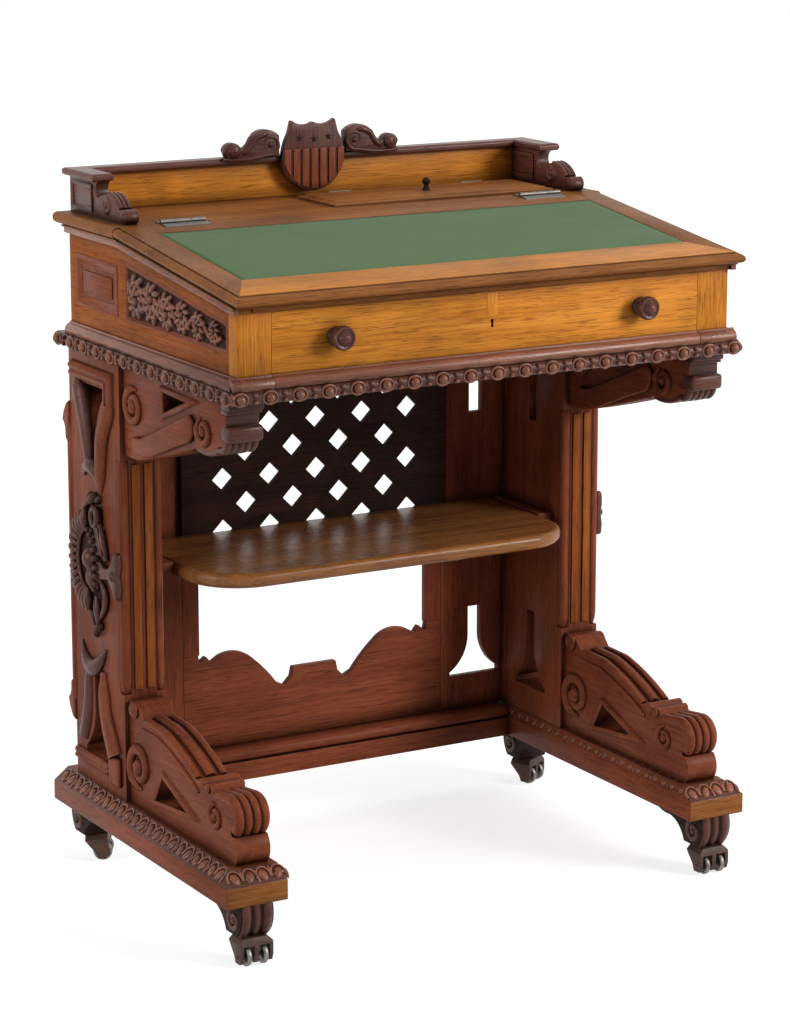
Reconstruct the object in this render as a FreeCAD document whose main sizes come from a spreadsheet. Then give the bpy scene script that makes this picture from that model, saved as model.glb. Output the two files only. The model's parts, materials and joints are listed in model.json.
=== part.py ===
import FreeCAD, Part
import Sketcher
import math
import os

# Davenport writing desk: carved stand on casters, desk case with a drawer, a
# hinged writing slope, a pen compartment and a gallery.
# Millimetres. X runs to the right, Y to the back, Z up from the floor.

# Driving sizes: name, size and what it measures
SIZES = (
    ("wheel_diameter", 24.0, "caster wheel, across"),
    ("wheel_width", 6.0, "caster wheel, along its axle"),
    ("wheel_spacing", 21.0, "middle to middle of the two wheels of a caster"),
    ("axle_diameter", 4.0, "caster axle"),
    ("running_clearance", 0.05, "radial room of a shaft in its hole"),
    ("caster_width", 42.0, "caster horn, along the axle"),
    ("caster_height", 34.0, "floor to the top of the caster horn"),
    ("caster_trail", 11.0, "axle to swivel stem, level"),
    ("cheek_thick", 4.5, "outer cheek of the caster horn"),
    ("web_thick", 6.0, "middle web of the caster horn"),
    ("stem_diameter", 8.0, "swivel stem"),
    ("stem_length", 26.0, "swivel stem above the horn"),
    ("swivel_gap", 2.0, "horn to foot block"),
    ("caster_inset_front", 22.0, "front end of the runner to the front stems"),
    ("caster_inset_rear", 32.0, "back end of the runner to the rear stems"),
    ("foot_height", 38.0, "foot block under the runner"),
    ("foot_width", 42.0, "foot block, across"),
    ("foot_length", 100.0, "foot block, along the runner"),
    ("base_proud", 28.5, "runner outside the face of the case side"),
    ("runner_width", 78.0, "runner, across"),
    ("runner_length", 472.5, "runner, front to back"),
    ("runner_front", 17.5, "runner in front of the drawer face"),
    ("runner_height", 24.0, "plain edge of the runner"),
    ("runner_moulding", 16.0, "leaf moulding on top of the runner"),
    ("moulding_inset", 18.0, "leaf moulding, how far its ends slope in"),
    ("rail_depth", 40.0, "back rail, front to back"),
    ("standard_height", 532.0, "side standard"),
    ("standard_thick", 54.0, "side standard, across"),
    ("standard_inset", 22.0, "back end of the runner to the back of the standard"),
    ("standard_depth", 149.0, "side standard, front to back"),
    ("standard_proud", 9.5, "side standard outside the face of the case side"),
    ("standard_chamfer", 12.0, "stopped chamfers on the front of the standard"),
    ("console_width", 42.0, "foot console, across"),
    ("console_height", 126.0, "foot console above the runner"),
    ("console_inset", 21.5, "front end of the runner to the front of the console"),
    ("bracket_width", 42.0, "top bracket, across"),
    ("bracket_drop", 108.0, "top bracket below the case, at the standard"),
    ("bracket_reach", 263.0, "top bracket in front of the standard"),
    ("standard_step", 9.0, "step in the back of the standards at their ends"),
    ("standard_shoulder", 88.0, "end of a standard to its step"),
    ("piercing_width", 74.0, "mouth of the bell piercings"),
    ("piercing_neck", 19.0, "neck of the bell piercings"),
    ("piercing_height", 104.0, "bell piercings"),
    ("piercing_sill", 36.0, "solid wood beyond each piercing's mouth"),
    ("wing_height", 92.0, "bell piercings of the back"),
    ("wing_sill", 44.0, "solid wood beyond each piercing's mouth in the back"),
    ("cartouche_height", 166.0, "oval cartouche"),
    ("cartouche_width", 146.0, "oval cartouche"),
    ("cartouche_proud", 20.0, "oval cartouche outside the standard"),
    ("cartouche_level", 282.0, "oval cartouche's middle above the runner"),
    ("panel_thick", 10.0, "boards of the back"),
    ("panel_proud", 5.0, "boards of the back behind the standards"),
    ("stile_width", 23.0, "narrow upright beside the open back"),
    ("wing_width", 94.5, "pierced board beside the open back"),
    ("apron_height", 123.0, "scroll-cut apron at its shoulders"),
    ("shelf_level", 282.0, "top of the shelf above the runner"),
    ("shelf_thick", 18.0, "shelf"),
    ("shelf_depth", 218.0, "shelf, front to back"),
    ("shelf_corner", 72.0, "rounded front corners of the shelf"),
    ("cleat_width", 23.5, "strip at each end of the shelf"),
    ("cleat_inset", 21.0, "front of the standard to the strips beside the shelf"),
    ("lattice_lap", 3.0, "lattice board over the pierced boards"),
    ("lattice_thick", 8.0, "lattice board"),
    ("lattice_pitch", 66.0, "lattice hole to the next in its row"),
    ("lattice_hole", 30.0, "lattice hole, corner to corner"),
    ("frame_height", 15.0, "carved frame under the case"),
    ("frame_width", 65.0, "carved frame, outside to inside"),
    ("frame_proud", 14.0, "carved frame outside the case"),
    ("ovolo_height", 15.0, "moulding above the carved frame"),
    ("ovolo_proud", 9.0, "moulding above the carved frame, outside the case"),
    ("case_width", 652.0, "case, across"),
    ("case_depth", 435.0, "case, front to back"),
    ("side_thick", 18.0, "case side boards"),
    ("post_width", 43.0, "front post beside the drawer"),
    ("post_depth", 18.0, "front post, front to back"),
    ("face_height", 69.5, "drawer face above its moulding"),
    ("back_thick", 12.0, "case back"),
    ("well_floor_thick", 7.0, "floor of the well under the slope"),
    ("rail_back", 4.0, "front rail behind the drawer front"),
    ("cornice_height", 9.0, "small moulding under the slope and ledge"),
    ("cornice_proud", 7.0, "small moulding outside the case"),
    ("panel_recess", 5.0, "depth of the sunk panels in the case sides"),
    ("panel_plate", 3.0, "panels set in the case sides"),
    ("panel_low", 22.0, "sunk panels above the moulding"),
    ("top_thick", 14.0, "slope and ledge boards"),
    ("top_overhang", 11.0, "slope and ledge beyond the case sides"),
    ("lid_overhang", 21.0, "slope in front of the drawer face"),
    ("lid_front_rise", 21.5, "top of the slope's front edge above the drawer face"),
    ("ledge_rise", 60.5, "top of the ledge above the drawer face"),
    ("ledge_depth", 145.0, "back of the case to the slope's hinge line"),
    ("ledge_back", 23.0, "ledge behind the case"),
    ("lid_gap", 0.4, "slope to ledge"),
    ("edge_round", 6.0, "rounded edges of the slope and ledge"),
    ("baize_side", 42.0, "end of the slope to the writing surface"),
    ("baize_front", 45.0, "drawer face to the front of the writing surface"),
    ("baize_behind", 36.0, "writing surface to the slope's hinge line"),
    ("baize_thick", 1.2, "cloth of the writing surface"),
    ("baize_sunk", 1.6, "bed of the writing surface"),
    ("hinge_length", 58.0, "slope hinge, along its pin"),
    ("hinge_inset", 91.0, "end of the slope to the middle of its hinge"),
    ("leaf_width", 15.0, "slope hinge leaf"),
    ("leaf_thick", 1.2, "hinge leaves"),
    ("knuckle_diameter", 4.8, "hinge knuckles"),
    ("hinge_pin", 2.2, "hinge pins"),
    ("knuckle_gap", 0.3, "hinge knuckle to its neighbour"),
    ("drawer_gap", 0.5, "drawer to what is beside it"),
    ("drawer_front_thick", 20.0, "drawer front"),
    ("drawer_short", 13.0, "drawer to the case back"),
    ("drawer_side_thick", 12.0, "drawer sides"),
    ("drawer_side_drop", 10.0, "drawer sides below the top of the drawer front"),
    ("drawer_back_thick", 10.0, "drawer back"),
    ("drawer_floor_thick", 6.0, "drawer bottom"),
    ("drawer_floor_raise", 6.5, "drawer bottom above the edge of its sides"),
    ("knob_diameter", 28.0, "drawer knobs"),
    ("knob_length", 27.0, "drawer knobs in front of the drawer"),
    ("knob_inset", 81.0, "front post to the middle of a knob"),
    ("knob_level", 36.0, "knobs above the drawer's moulding"),
    ("lock_width", 44.0, "lock case"),
    ("lock_height", 46.0, "lock case"),
    ("lock_thick", 10.0, "lock case"),
    ("bolt_width", 16.0, "lock bolt"),
    ("bolt_thick", 5.0, "lock bolt"),
    ("bolt_height", 16.0, "lock bolt"),
    ("bolt_travel", 6.0, "lock bolt's travel"),
    ("bolt_gap", 0.3, "lock bolt to its channel"),
    ("keyhole_width", 3.2, "keyhole slot"),
    ("keyhole_height", 9.0, "keyhole, top to bottom"),
    ("pen_lid_inset", 35.0, "face of the gallery end to the pen lid"),
    ("pen_lid_width", 311.0, "pen lid, across"),
    ("pen_lid_depth", 97.0, "pen lid, front to back"),
    ("pen_lid_setback", 24.0, "slope's hinge line to the pen lid"),
    ("pen_lid_thick", 6.0, "pen lid"),
    ("pen_lid_lap", 14.0, "pen lid over the edge of its opening"),
    ("pen_tray_depth", 26.0, "pen tray under the ledge"),
    ("pen_tray_wall", 5.0, "pen tray walls and floor"),
    ("pen_knob_height", 16.0, "small knob on the pen lid"),
    ("pen_knob_diameter", 10.0, "small knob on the pen lid"),
    ("pen_hinge_length", 30.0, "pen lid hinge, along its pin"),
    ("pen_hinge_inset", 60.0, "end of the pen lid to the middle of its hinge"),
    ("gallery_height", 43.0, "gallery board above the ledge"),
    ("gallery_thick", 12.0, "gallery board"),
    ("gallery_inset", 10.0, "case side to the gallery end"),
    ("gallery_end_thick", 17.0, "gallery ends, across"),
    ("gallery_end_reach", 155.0, "gallery ends, front to back"),
    ("cap_thick", 9.0, "gallery cap"),
    ("cap_proud", 9.0, "gallery cap beyond the gallery"),
    ("cap_return", 83.0, "gallery cap along the ends"),
    ("shield_half", 46.5, "crest shield, half across"),
    ("shield_height", 88.5, "crest shield"),
    ("shield_tip", 6.5, "tip of the shield above the ledge"),
    ("shield_thick", 4.0, "crest shield in front of the crest scrolls"),
    ("crest_height", 33.0, "crest scrolls above the cap"),
    ("crest_reach", 121.5, "middle of the desk to the end of a crest scroll"),
    ("crest_thick", 14.0, "crest scrolls, front to back"),
    ("crest_proud", 6.0, "crest scrolls in front of the cap"),
)


class Size:
    """A length that carries its number and the formula that ties it to the sheet."""

    def __init__(self, number, formula=None):
        self.number = float(number)
        self.formula = formula or "(%.6f)" % self.number

    def combine(self, sign, other, number):
        return Size(number, "(%s %s %s)" % (self.formula, sign, other.formula))

    def __add__(self, other):
        other = sized(other)
        return self.combine("+", other, self.number + other.number)

    def __sub__(self, other):
        other = sized(other)
        return self.combine("-", other, self.number - other.number)

    def __mul__(self, other):
        other = sized(other)
        return self.combine("*", other, self.number * other.number)

    def __truediv__(self, other):
        other = sized(other)
        return self.combine("/", other, self.number / other.number)

    def __radd__(self, other):
        return sized(other) + self

    def __rsub__(self, other):
        return sized(other) - self

    def __rmul__(self, other):
        return sized(other) * self

    def __neg__(self):
        return self * -1.0

    def __float__(self):
        return self.number


def sized(value):
    return value if isinstance(value, Size) else Size(value)


doc = FreeCAD.newDocument("davenport_desk")
sheet = doc.addObject("Spreadsheet::Sheet", "Sizes")
for row, (alias, number, meaning) in enumerate(SIZES, 1):
    sheet.set("A%d" % row, meaning)
    sheet.set("B%d" % row, str(number))
    sheet.setAlias("B%d" % row, alias)
doc.recompute()
size = {alias: Size(sheet.get(alias), "Sizes." + alias) for alias, _, _ in SIZES}


class Named:
    """Every driving size under its own name."""

    def __init__(self, table):
        self.__dict__.update(table)


S = Named(size)

# Levels, from the floor up
runner_bottom = S.caster_height + S.swivel_gap + S.foot_height
runner_edge = runner_bottom + S.runner_height
base_top = runner_edge + S.runner_moulding
stand_top = base_top + S.standard_height
case_floor = stand_top + S.frame_height
face_low = case_floor + S.ovolo_height
face_top = face_low + S.face_height
lid_front_top = face_top + S.lid_front_rise
ledge_top = face_top + S.ledge_rise
ledge_under = ledge_top - S.top_thick
shelf_top = base_top + S.shelf_level
shelf_under = shelf_top - S.shelf_thick
apron_top = base_top + S.apron_height
gallery_top = ledge_top + S.gallery_height
cap_top = gallery_top + S.cap_thick

# Places from front to back, counted from the drawer face
runner_back = S.runner_length - S.runner_front
standard_back = runner_back - S.standard_inset
standard_front = standard_back - S.standard_depth
panel_back = standard_back + S.panel_proud
panel_front = panel_back - S.panel_thick
lattice_front = panel_front - S.lattice_thick
rail_front = panel_back + 4.0 - S.rail_depth
ledge_rear = S.case_depth + S.ledge_back
gallery_back = ledge_rear - 6.0
gallery_front = gallery_back - S.gallery_thick
cap_back = gallery_back + 3.0
cap_front = gallery_front - S.cap_proud
crest_front = cap_front - S.crest_proud
hinge_line = S.case_depth - S.ledge_depth
baize_back = hinge_line - S.baize_behind
pen_lid_front = hinge_line + S.pen_lid_setback
pen_lid_back = pen_lid_front + S.pen_lid_depth
middle = (ledge_rear - S.lid_overhang) / 2

# Places from the middle outwards
case_half = S.case_width / 2
case_inside = case_half - S.side_thick
drawer_opening = case_half - S.post_width
standard_outside = case_half + S.standard_proud
standard_inside = standard_outside - S.standard_thick
standard_middle = standard_outside - S.standard_thick / 2
runner_outside = case_half + S.base_proud
runner_inside = runner_outside - S.runner_width
runner_middle = runner_outside - S.runner_width / 2
frame_outside = case_half + S.frame_proud
frame_inside = frame_outside - S.frame_width
top_half = case_half + S.top_overhang
gallery_half = case_half - S.gallery_inset
pen_lid_right = gallery_half - S.pen_lid_inset
pen_lid_left = pen_lid_right - S.pen_lid_width
baize_width = (top_half - S.baize_side) * 2
hinge_place = top_half - S.hinge_inset
knob_place = drawer_opening - S.knob_inset
opening_half = standard_inside - S.wing_width - S.stile_width
lattice_half = opening_half + S.stile_width + S.lattice_lap

# Fall of the writing slope, and its top and underside at any depth
slope = (ledge_top - lid_front_top) / (hinge_line + S.lid_overhang)


def lid_top(depth):
    return lid_front_top + slope * (depth + S.lid_overhang)


def lid_under(depth):
    return lid_top(depth) - S.top_thick


# Helpers
nodes = []


def bind(item, prop, value):
    item.setExpression(prop, sized(value).formula)


def keep(item, label):
    """Name a finished piece and list it for writing."""
    item.Label = label
    nodes.append(item)
    return item


def box(name, x, y, z):
    """Plain board between two limits along each axis."""
    item = doc.addObject("Part::Box", name)
    shift = {"x": sized(0.0), "y": middle, "z": sized(0.0)}
    for prop, axis, (low, high) in zip(("Length", "Width", "Height"), "xyz", (x, y, z)):
        bind(item, prop, sized(high) - low)
        bind(item, "Placement.Base." + axis, sized(low) - shift[axis])
    return item


def cylinder(name, axis, radius, length, start):
    """Round bar from a start point along +X, +Y or +Z."""
    ways = {"x": (1, 0, 0), "y": (0, 1, 0), "z": (0, 0, 1)}
    item = doc.addObject("Part::Cylinder", name)
    item.Placement.Rotation = FreeCAD.Rotation(FreeCAD.Vector(0, 0, 1), FreeCAD.Vector(*ways[axis]))
    bind(item, "Radius", radius)
    bind(item, "Height", length)
    place(item, start)
    return item


def place(item, start):
    """Set a piece's place; depths are counted from the drawer face."""
    for axis, value in zip("xyz", (start[0], sized(start[1]) - middle, start[2])):
        bind(item, "Placement.Base." + axis, value)


def cut(name, base, tool):
    item = doc.addObject("Part::Cut", name)
    item.Base = base
    item.Tool = tool
    return item


def common(name, base, tool):
    item = doc.addObject("Part::Common", name)
    item.Base = base
    item.Tool = tool
    return item


def fuse(name, pieces):
    item = doc.addObject("Part::MultiFuse", name)
    item.Shapes = pieces
    item.Refine = True
    return item


def group(name, pieces):
    item = doc.addObject("Part::Compound", name)
    item.Links = pieces
    return item


def mirrored(name, piece):
    """The same piece on the other side of the desk."""
    item = doc.addObject("Part::Mirroring", name)
    item.Source = piece
    item.Base = FreeCAD.Vector(0, 0, 0)
    item.Normal = FreeCAD.Vector(1, 0, 0)
    return item


def arc(through, end):
    """Step of an outline that bends through one point to its end."""
    return ("arc", through, end)


def flat(point):
    return FreeCAD.Vector(float(point[0]), float(point[1]), 0)


def tie(sketch, geometry, position, point):
    """Hold one point of a sketch at a place given by the sheet."""
    for kind, value in zip(("DistanceX", "DistanceY"), point):
        rule = Sketcher.Constraint(kind, -1, 1, geometry, position, float(value))
        bind(sketch, "Constraints[%d]" % sketch.addConstraint(rule), value)


def draw_arc(sketch, here, through, there):
    """Arc from here to there; gives its number and which of its ends comes first."""
    circle = Part.Circle(flat(here), flat(through), flat(there))
    centre = circle.Center
    angles = [math.atan2(p.y - centre.y, p.x - centre.x) for p in (flat(here), flat(through), flat(there))]
    sweep = (angles[2] - angles[0]) % (2 * math.pi)
    forward = (angles[1] - angles[0]) % (2 * math.pi) < sweep
    first, last = (angles[0], angles[2]) if forward else (angles[2], angles[0])
    plain = Part.Circle(centre, FreeCAD.Vector(0, 0, 1), circle.Radius)
    number = sketch.addGeometry(Part.ArcOfCircle(plain, first, last), False)
    mark = sketch.addGeometry(Part.Point(flat(through)), True)
    sketch.addConstraint(Sketcher.Constraint("PointOnObject", mark, 1, number))
    tie(sketch, mark, 1, through)
    return (number, 1, 2) if forward else (number, 2, 1)


def draw_loop(sketch, outline):
    """Close one outline of corners and arcs, every corner tied to the sheet."""
    here = outline[0]
    runs = []
    for step in list(outline[1:]) + [outline[0]]:
        if step[0] == "arc":
            there = step[2]
            run = draw_arc(sketch, here, step[1], there)
        else:
            there = step
            if flat(here).distanceToPoint(flat(there)) < 1e-6:
                continue
            run = (sketch.addGeometry(Part.LineSegment(flat(here), flat(there)), False), 1, 2)
        tie(sketch, run[0], run[1], here)
        runs.append(run)
        here = there
    for run, following in zip(runs, runs[1:] + runs[:1]):
        sketch.addConstraint(Sketcher.Constraint("Coincident", run[0], run[2], following[0], following[1]))


def new_sketch(body, plane, name, offset=None):
    sketch = body.newObject("Sketcher::SketchObject", body.Name + name)
    support = [item for item in body.Origin.OriginFeatures if item.Role == plane + "_Plane"][0]
    sketch.AttachmentSupport = [(support, "")]
    sketch.MapMode = "FlatFace"
    if offset is not None:
        bind(sketch, "AttachmentOffset.Base.z", offset)
    return sketch


def pad(body, plane, loops, length, name="Profile", reverse=False, centred=False, offset=None):
    """Add a solid of the given outlines to a body."""
    sketch = new_sketch(body, plane, name, offset)
    for loop in loops:
        draw_loop(sketch, loop)
    feature = body.newObject("PartDesign::Pad", body.Name + name + "Pad")
    feature.Profile = sketch
    bind(feature, "Length", length)
    feature.Reversed = reverse
    feature.Midplane = centred
    return feature


def pocket(body, plane, loops, length, name, reverse=False, centred=False, offset=None):
    """Cut the given outlines out of a body, and make sure that they met wood."""
    doc.recompute()
    before = body.Shape.Volume
    sketch = new_sketch(body, plane, name, offset)
    for loop in loops:
        draw_loop(sketch, loop)
    feature = body.newObject("PartDesign::Pocket", body.Name + name + "Pocket")
    feature.Profile = sketch
    bind(feature, "Length", length)
    feature.Reversed = reverse
    feature.Midplane = centred
    doc.recompute()
    if body.Shape.Volume > before - 0.01:
        raise ValueError("nothing was cut by " + feature.Name)
    return feature


def round_edges(body, feature, radius, chosen):
    """Round those edges of the body's last feature that the test chooses."""
    doc.recompute()
    edges = enumerate(feature.Shape.Edges, 1)
    names = ["Edge%d" % number for number, edge in edges if chosen(edge.BoundBox)]
    rounded = body.newObject("PartDesign::Fillet", body.Name + "Round")
    rounded.Base = (feature, names)
    bind(rounded, "Radius", radius)
    return rounded


def new_body(name, start):
    body = doc.addObject("PartDesign::Body", name)
    place(body, start)
    return body


def side_board(name, outside, loops, thick):
    """Board whose outline is seen from the side, from an outer face on the left inwards."""
    body = new_body(name, (-outside, 0.0, 0.0))
    pad(body, "YZ", loops, thick)
    return body


def back_board(name, behind, loops, thick):
    """Board whose outline is seen from the front, from its back face forwards."""
    body = new_body(name, (0.0, behind, 0.0))
    pad(body, "XZ", loops, thick)
    return body


def rectangle(low, high):
    return [(low[0], low[1]), (high[0], low[1]), (high[0], high[1]), (low[0], high[1])]


def both_sides(name, piece):
    """List a left piece and its mirror image as two nodes."""
    keep(piece, name + "_left")
    keep(mirrored(name + "_mirrored", piece), name + "_right")


# Base: two runners, the back rail and four foot blocks
def base_runner():
    plain = box("runner_block", (-runner_outside, -runner_inside), (-S.runner_front, runner_back),
                (runner_bottom, runner_edge))
    top = doc.addObject("Part::Wedge", "runner_top")
    top.Placement.Rotation = FreeCAD.Rotation(FreeCAD.Vector(1, 0, 0), 90)
    inner = standard_inside - 1.0
    outer = standard_outside + 1.0
    limits = {
        "Xmin": -runner_outside, "Xmax": -runner_inside, "X2min": -outer, "X2max": -inner,
        "Ymin": 0.0, "Ymax": S.runner_moulding,
        "Zmin": -runner_back, "Zmax": S.runner_front,
        "Z2min": 3.0 - runner_back, "Z2max": S.runner_front - S.moulding_inset,
    }
    for prop, value in limits.items():
        setattr(top, prop, float(sized(value)))
        bind(top, prop, value)
    place(top, (0.0, 0.0, runner_edge))
    both_sides("base_runner", fuse("runner_solid", [plain, top]))


def base_back_rail():
    back = rail_front + S.rail_depth
    bead = S.runner_moulding / 2
    outline = [
        (back, runner_bottom), (rail_front, runner_bottom), (rail_front, runner_edge),
        (rail_front + bead, runner_edge),
        arc((rail_front, runner_edge + bead), (rail_front + bead, base_top)), (back, base_top),
    ]
    body = new_body("back_rail", (0.0, 0.0, 0.0))
    pad(body, "YZ", [outline], runner_inside * 2, centred=True)
    keep(body, "base_back_rail")


stem_front = S.caster_inset_front - S.runner_front
stem_rear = runner_back - S.caster_inset_rear


def foot_block(name, stem, inward):
    """Scroll foot under a runner; inward is +1 where it tapers to the back."""
    low = S.caster_height + S.swivel_gap
    front = S.foot_length * 0.19
    tail = S.foot_length - front

    def at(along, up):
        return (stem + along * inward, low + up)

    outline = [
        at(-front, S.foot_height), arc(at(-front * 1.08, S.foot_height * 0.5), at(-front * 0.55, 0.0)),
        at(front * 0.9, 0.0),
        arc(at(tail * 0.33, S.foot_height * 0.4), at(tail * 0.6, S.foot_height * 0.66)),
        arc(at(tail * 0.8, S.foot_height * 0.68), at(tail, S.foot_height * 0.84)),
        at(tail, S.foot_height),
    ]
    body = side_board(name, runner_middle + S.foot_width / 2, [outline], S.foot_width)
    bore = cylinder(name + "_bore", "z", S.stem_diameter / 2 + S.running_clearance,
                    S.stem_length - S.swivel_gap + 1.0, (-runner_middle, stem, low))
    return cut(name + "_bored", body, bore)


def foot_blocks():
    front = foot_block("foot_front", stem_front, 1.0)
    rear = foot_block("foot_rear", stem_rear, -1.0)
    pieces = [front, mirrored("foot_front_mirrored", front), rear, mirrored("foot_rear_mirrored", rear)]
    keep(group("foot_block_group", pieces), "foot_blocks")


# Casters: a swivelling horn with two wheels on one axle
caster_turns = {"front_left": 0.0, "front_right": 0.0, "rear_left": 60.0, "rear_right": 30.0}


def caster_place(corner):
    side = -1.0 if corner.endswith("left") else 1.0
    depth = stem_front if corner.startswith("front") else stem_rear
    return (runner_middle * side, depth, 0.0)


def caster_body(name, corner):
    """Body at a caster's stem, turned about it; the wheels trail to its front."""
    body = doc.addObject("PartDesign::Body", name)
    body.Placement.Rotation = FreeCAD.Rotation(FreeCAD.Vector(0, 0, 1), caster_turns[corner])
    place(body, caster_place(corner))
    return body


def ring(centre, radius):
    """Two half circles about a point."""
    left = (centre[0] - radius, centre[1])
    right = (centre[0] + radius, centre[1])
    over = (centre[0], centre[1] + radius)
    under = (centre[0], centre[1] - radius)
    return [left, arc(under, right), arc(over, left)]


def caster_fork(corner):
    body = caster_body("fork_" + corner, corner)
    half = S.caster_width / 2
    wheel = S.wheel_diameter / 2
    crown = S.wheel_diameter + 1.0
    low = wheel * 0.35
    slot_in = S.web_thick / 2
    slot_out = half - S.cheek_thick
    corner_cut = S.cheek_thick * 1.3
    profile = [(-half, low), (-half, S.caster_height - corner_cut), (corner_cut - half, S.caster_height),
               (half - corner_cut, S.caster_height), (half, S.caster_height - corner_cut), (half, low)]
    for inner, outer in ((slot_in, slot_out), (-slot_out, -slot_in)):
        profile += [(outer, low), (outer, crown), (inner, crown), (inner, low)]
    depth = S.caster_trail + S.wheel_diameter * 1.2
    pad(body, "XZ", [profile], depth, "Front", centred=True)
    trail = -S.caster_trail
    head = S.caster_height + 1.0
    shoulder = S.stem_diameter * 1.25
    jaw = wheel * 0.68
    rear_part = [(depth, low - 1.0), (depth, head), (shoulder, head), (shoulder, crown + 2.0),
                 (trail + jaw, wheel), (trail + jaw * 0.6, low - 1.0)]
    front_part = [(-depth, low - 1.0), (-depth, head), (trail - jaw * 0.7, head), (trail - jaw, crown),
                  (trail - jaw, wheel), (trail - jaw * 0.6, low - 1.0)]
    pocket(body, "YZ", [rear_part, front_part], S.caster_width + 2.0, "Side", centred=True)
    pad(body, "YZ", [ring((trail, wheel), S.axle_diameter / 2)], S.caster_width + 3.0, "Axle", centred=True)
    pad(body, "XY", [ring((0.0, 0.0), S.stem_diameter / 2)], S.stem_length, "Stem", offset=S.caster_height)
    keep(body, "caster_fork_" + corner)


def caster_wheels(corner):
    centre = (-S.caster_trail, S.wheel_diameter / 2)
    loops = [ring(centre, S.wheel_diameter / 2), ring(centre, S.axle_diameter / 2 + S.running_clearance)]
    wheels = []
    for name, side in (("inner", -1.0), ("outer", 1.0)):
        body = caster_body("wheel_%s_%s" % (corner, name), corner)
        pad(body, "YZ", loops, S.wheel_width, offset=S.wheel_spacing / 2 * side - S.wheel_width / 2)
        wheels.append(body)
    keep(group("wheels_" + corner, wheels), "caster_wheels_" + corner)


# Stand: standards, consoles, brackets and cartouches
def bell(centre, mouth, height):
    """Bell piercing: a wide mouth that draws in to a narrow neck, above or below it."""
    wide = S.piercing_width / 2
    neck = S.piercing_neck / 2
    lip = mouth + height * 0.06
    start = mouth + height * 0.62
    bend = mouth + height * 0.26
    end = mouth + height
    reach = neck + (wide - neck) * 0.32
    return [
        (centre - wide, mouth), (centre + wide, mouth), (centre + wide, lip),
        arc((centre + reach, bend), (centre + neck, start)), (centre + neck, end),
        (centre - neck, end), (centre - neck, start),
        arc((centre - reach, bend), (centre - wide, lip)),
    ]


def side_standard():
    stepped = standard_back - S.standard_step
    low_step = base_top + S.standard_shoulder
    high_step = stand_top - S.standard_shoulder
    outline = [
        (standard_front, base_top), (stepped, base_top), (stepped, low_step), (standard_back, low_step),
        (standard_back, high_step), (stepped, high_step), (stepped, stand_top), (standard_front, stand_top),
    ]
    centre = standard_back - S.standard_depth / 2
    loops = [outline, bell(centre, base_top + S.piercing_sill, S.piercing_height),
             bell(centre, stand_top - S.piercing_sill, -S.piercing_height)]
    body = side_board("standard", standard_outside, loops, S.standard_thick)
    front = standard_front
    size_in = S.standard_chamfer
    thick = S.standard_thick
    outer = [(-1.0, front - 1.0), (size_in + 1.0, front - 1.0), (-1.0, front + size_in + 1.0)]
    inner = [
        (thick + 1.0, front - 1.0), (thick + 1.0, front + size_in + 1.0),
        (thick - size_in - 1.0, front - 1.0),
    ]
    top = stand_top - S.bracket_drop - 6.0
    low = base_top + S.console_height + 6.0
    pocket(body, "XY", [outer, inner], top - low, "Chamfer", offset=top)
    both_sides("side_standard", body)


def foot_console():
    """Scrolled console from the foot of the standard to the front of the runner."""
    back = standard_front
    reach = standard_front + S.runner_front - S.console_inset
    rise = S.console_height

    def at(along, up):
        return (back - reach * along, base_top + rise * up)

    outline = [
        at(0.0, 0.0), at(0.975, 0.0), arc(at(1.0, 0.13), at(0.975, 0.26)), at(0.915, 0.27),
        arc(at(0.985, 0.44), at(0.91, 0.575)), at(0.795, 0.545), at(0.765, 0.625), at(0.68, 0.605),
        at(0.62, 0.6), arc(at(0.446, 0.77), at(0.298, 0.862)), at(0.14, 0.872),
        arc(at(0.1, 0.965), at(0.05, 1.0)), at(0.0, 1.0),
    ]
    hole = [at(0.33, 0.43), at(0.26, 0.17), at(0.56, 0.24)]
    outside = standard_middle + S.console_width / 2
    both_sides("foot_console", side_board("console", outside, [outline, hole], S.console_width))


def top_bracket():
    """Scrolled bracket under the overhang of the case."""
    back = standard_front
    reach = S.bracket_reach
    drop = S.bracket_drop

    def at(along, down):
        return (back - reach * along, stand_top - drop * down)

    outline = [
        at(0.0, 0.0), at(1.0, 0.0), at(1.0, 0.31), at(0.985, 0.36),
        arc(at(0.985, 0.44), at(0.94, 0.49)), arc(at(0.86, 0.585), at(0.74, 0.6)), at(0.68, 0.635),
        arc(at(0.36, 0.84), at(0.1, 1.0)), at(0.0, 1.0),
    ]
    hole = [at(0.42, 0.13), at(0.43, 0.35), at(0.646, 0.15)]
    outside = standard_middle + S.bracket_width / 2
    both_sides("top_bracket", side_board("bracket", outside, [outline, hole], S.bracket_width))


def cartouches():
    oval = doc.addObject("Part::Ellipsoid", "cartouche_oval")
    bind(oval, "Radius1", S.cartouche_height / 2)
    bind(oval, "Radius2", S.cartouche_proud)
    bind(oval, "Radius3", S.cartouche_width / 2)
    depth = standard_back - S.standard_depth / 2
    level = base_top + S.cartouche_level
    place(oval, (-standard_outside, depth, level))
    keeper = box("cartouche_keeper", (-standard_outside - S.cartouche_proud - 1.0, -standard_outside),
                 (depth - S.cartouche_width, depth + S.cartouche_width),
                 (level - S.cartouche_height, level + S.cartouche_height))
    left = common("cartouche_half", oval, keeper)
    keep(group("cartouche_pair", [left, mirrored("cartouche_mirrored", left)]), "cartouches")


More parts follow.
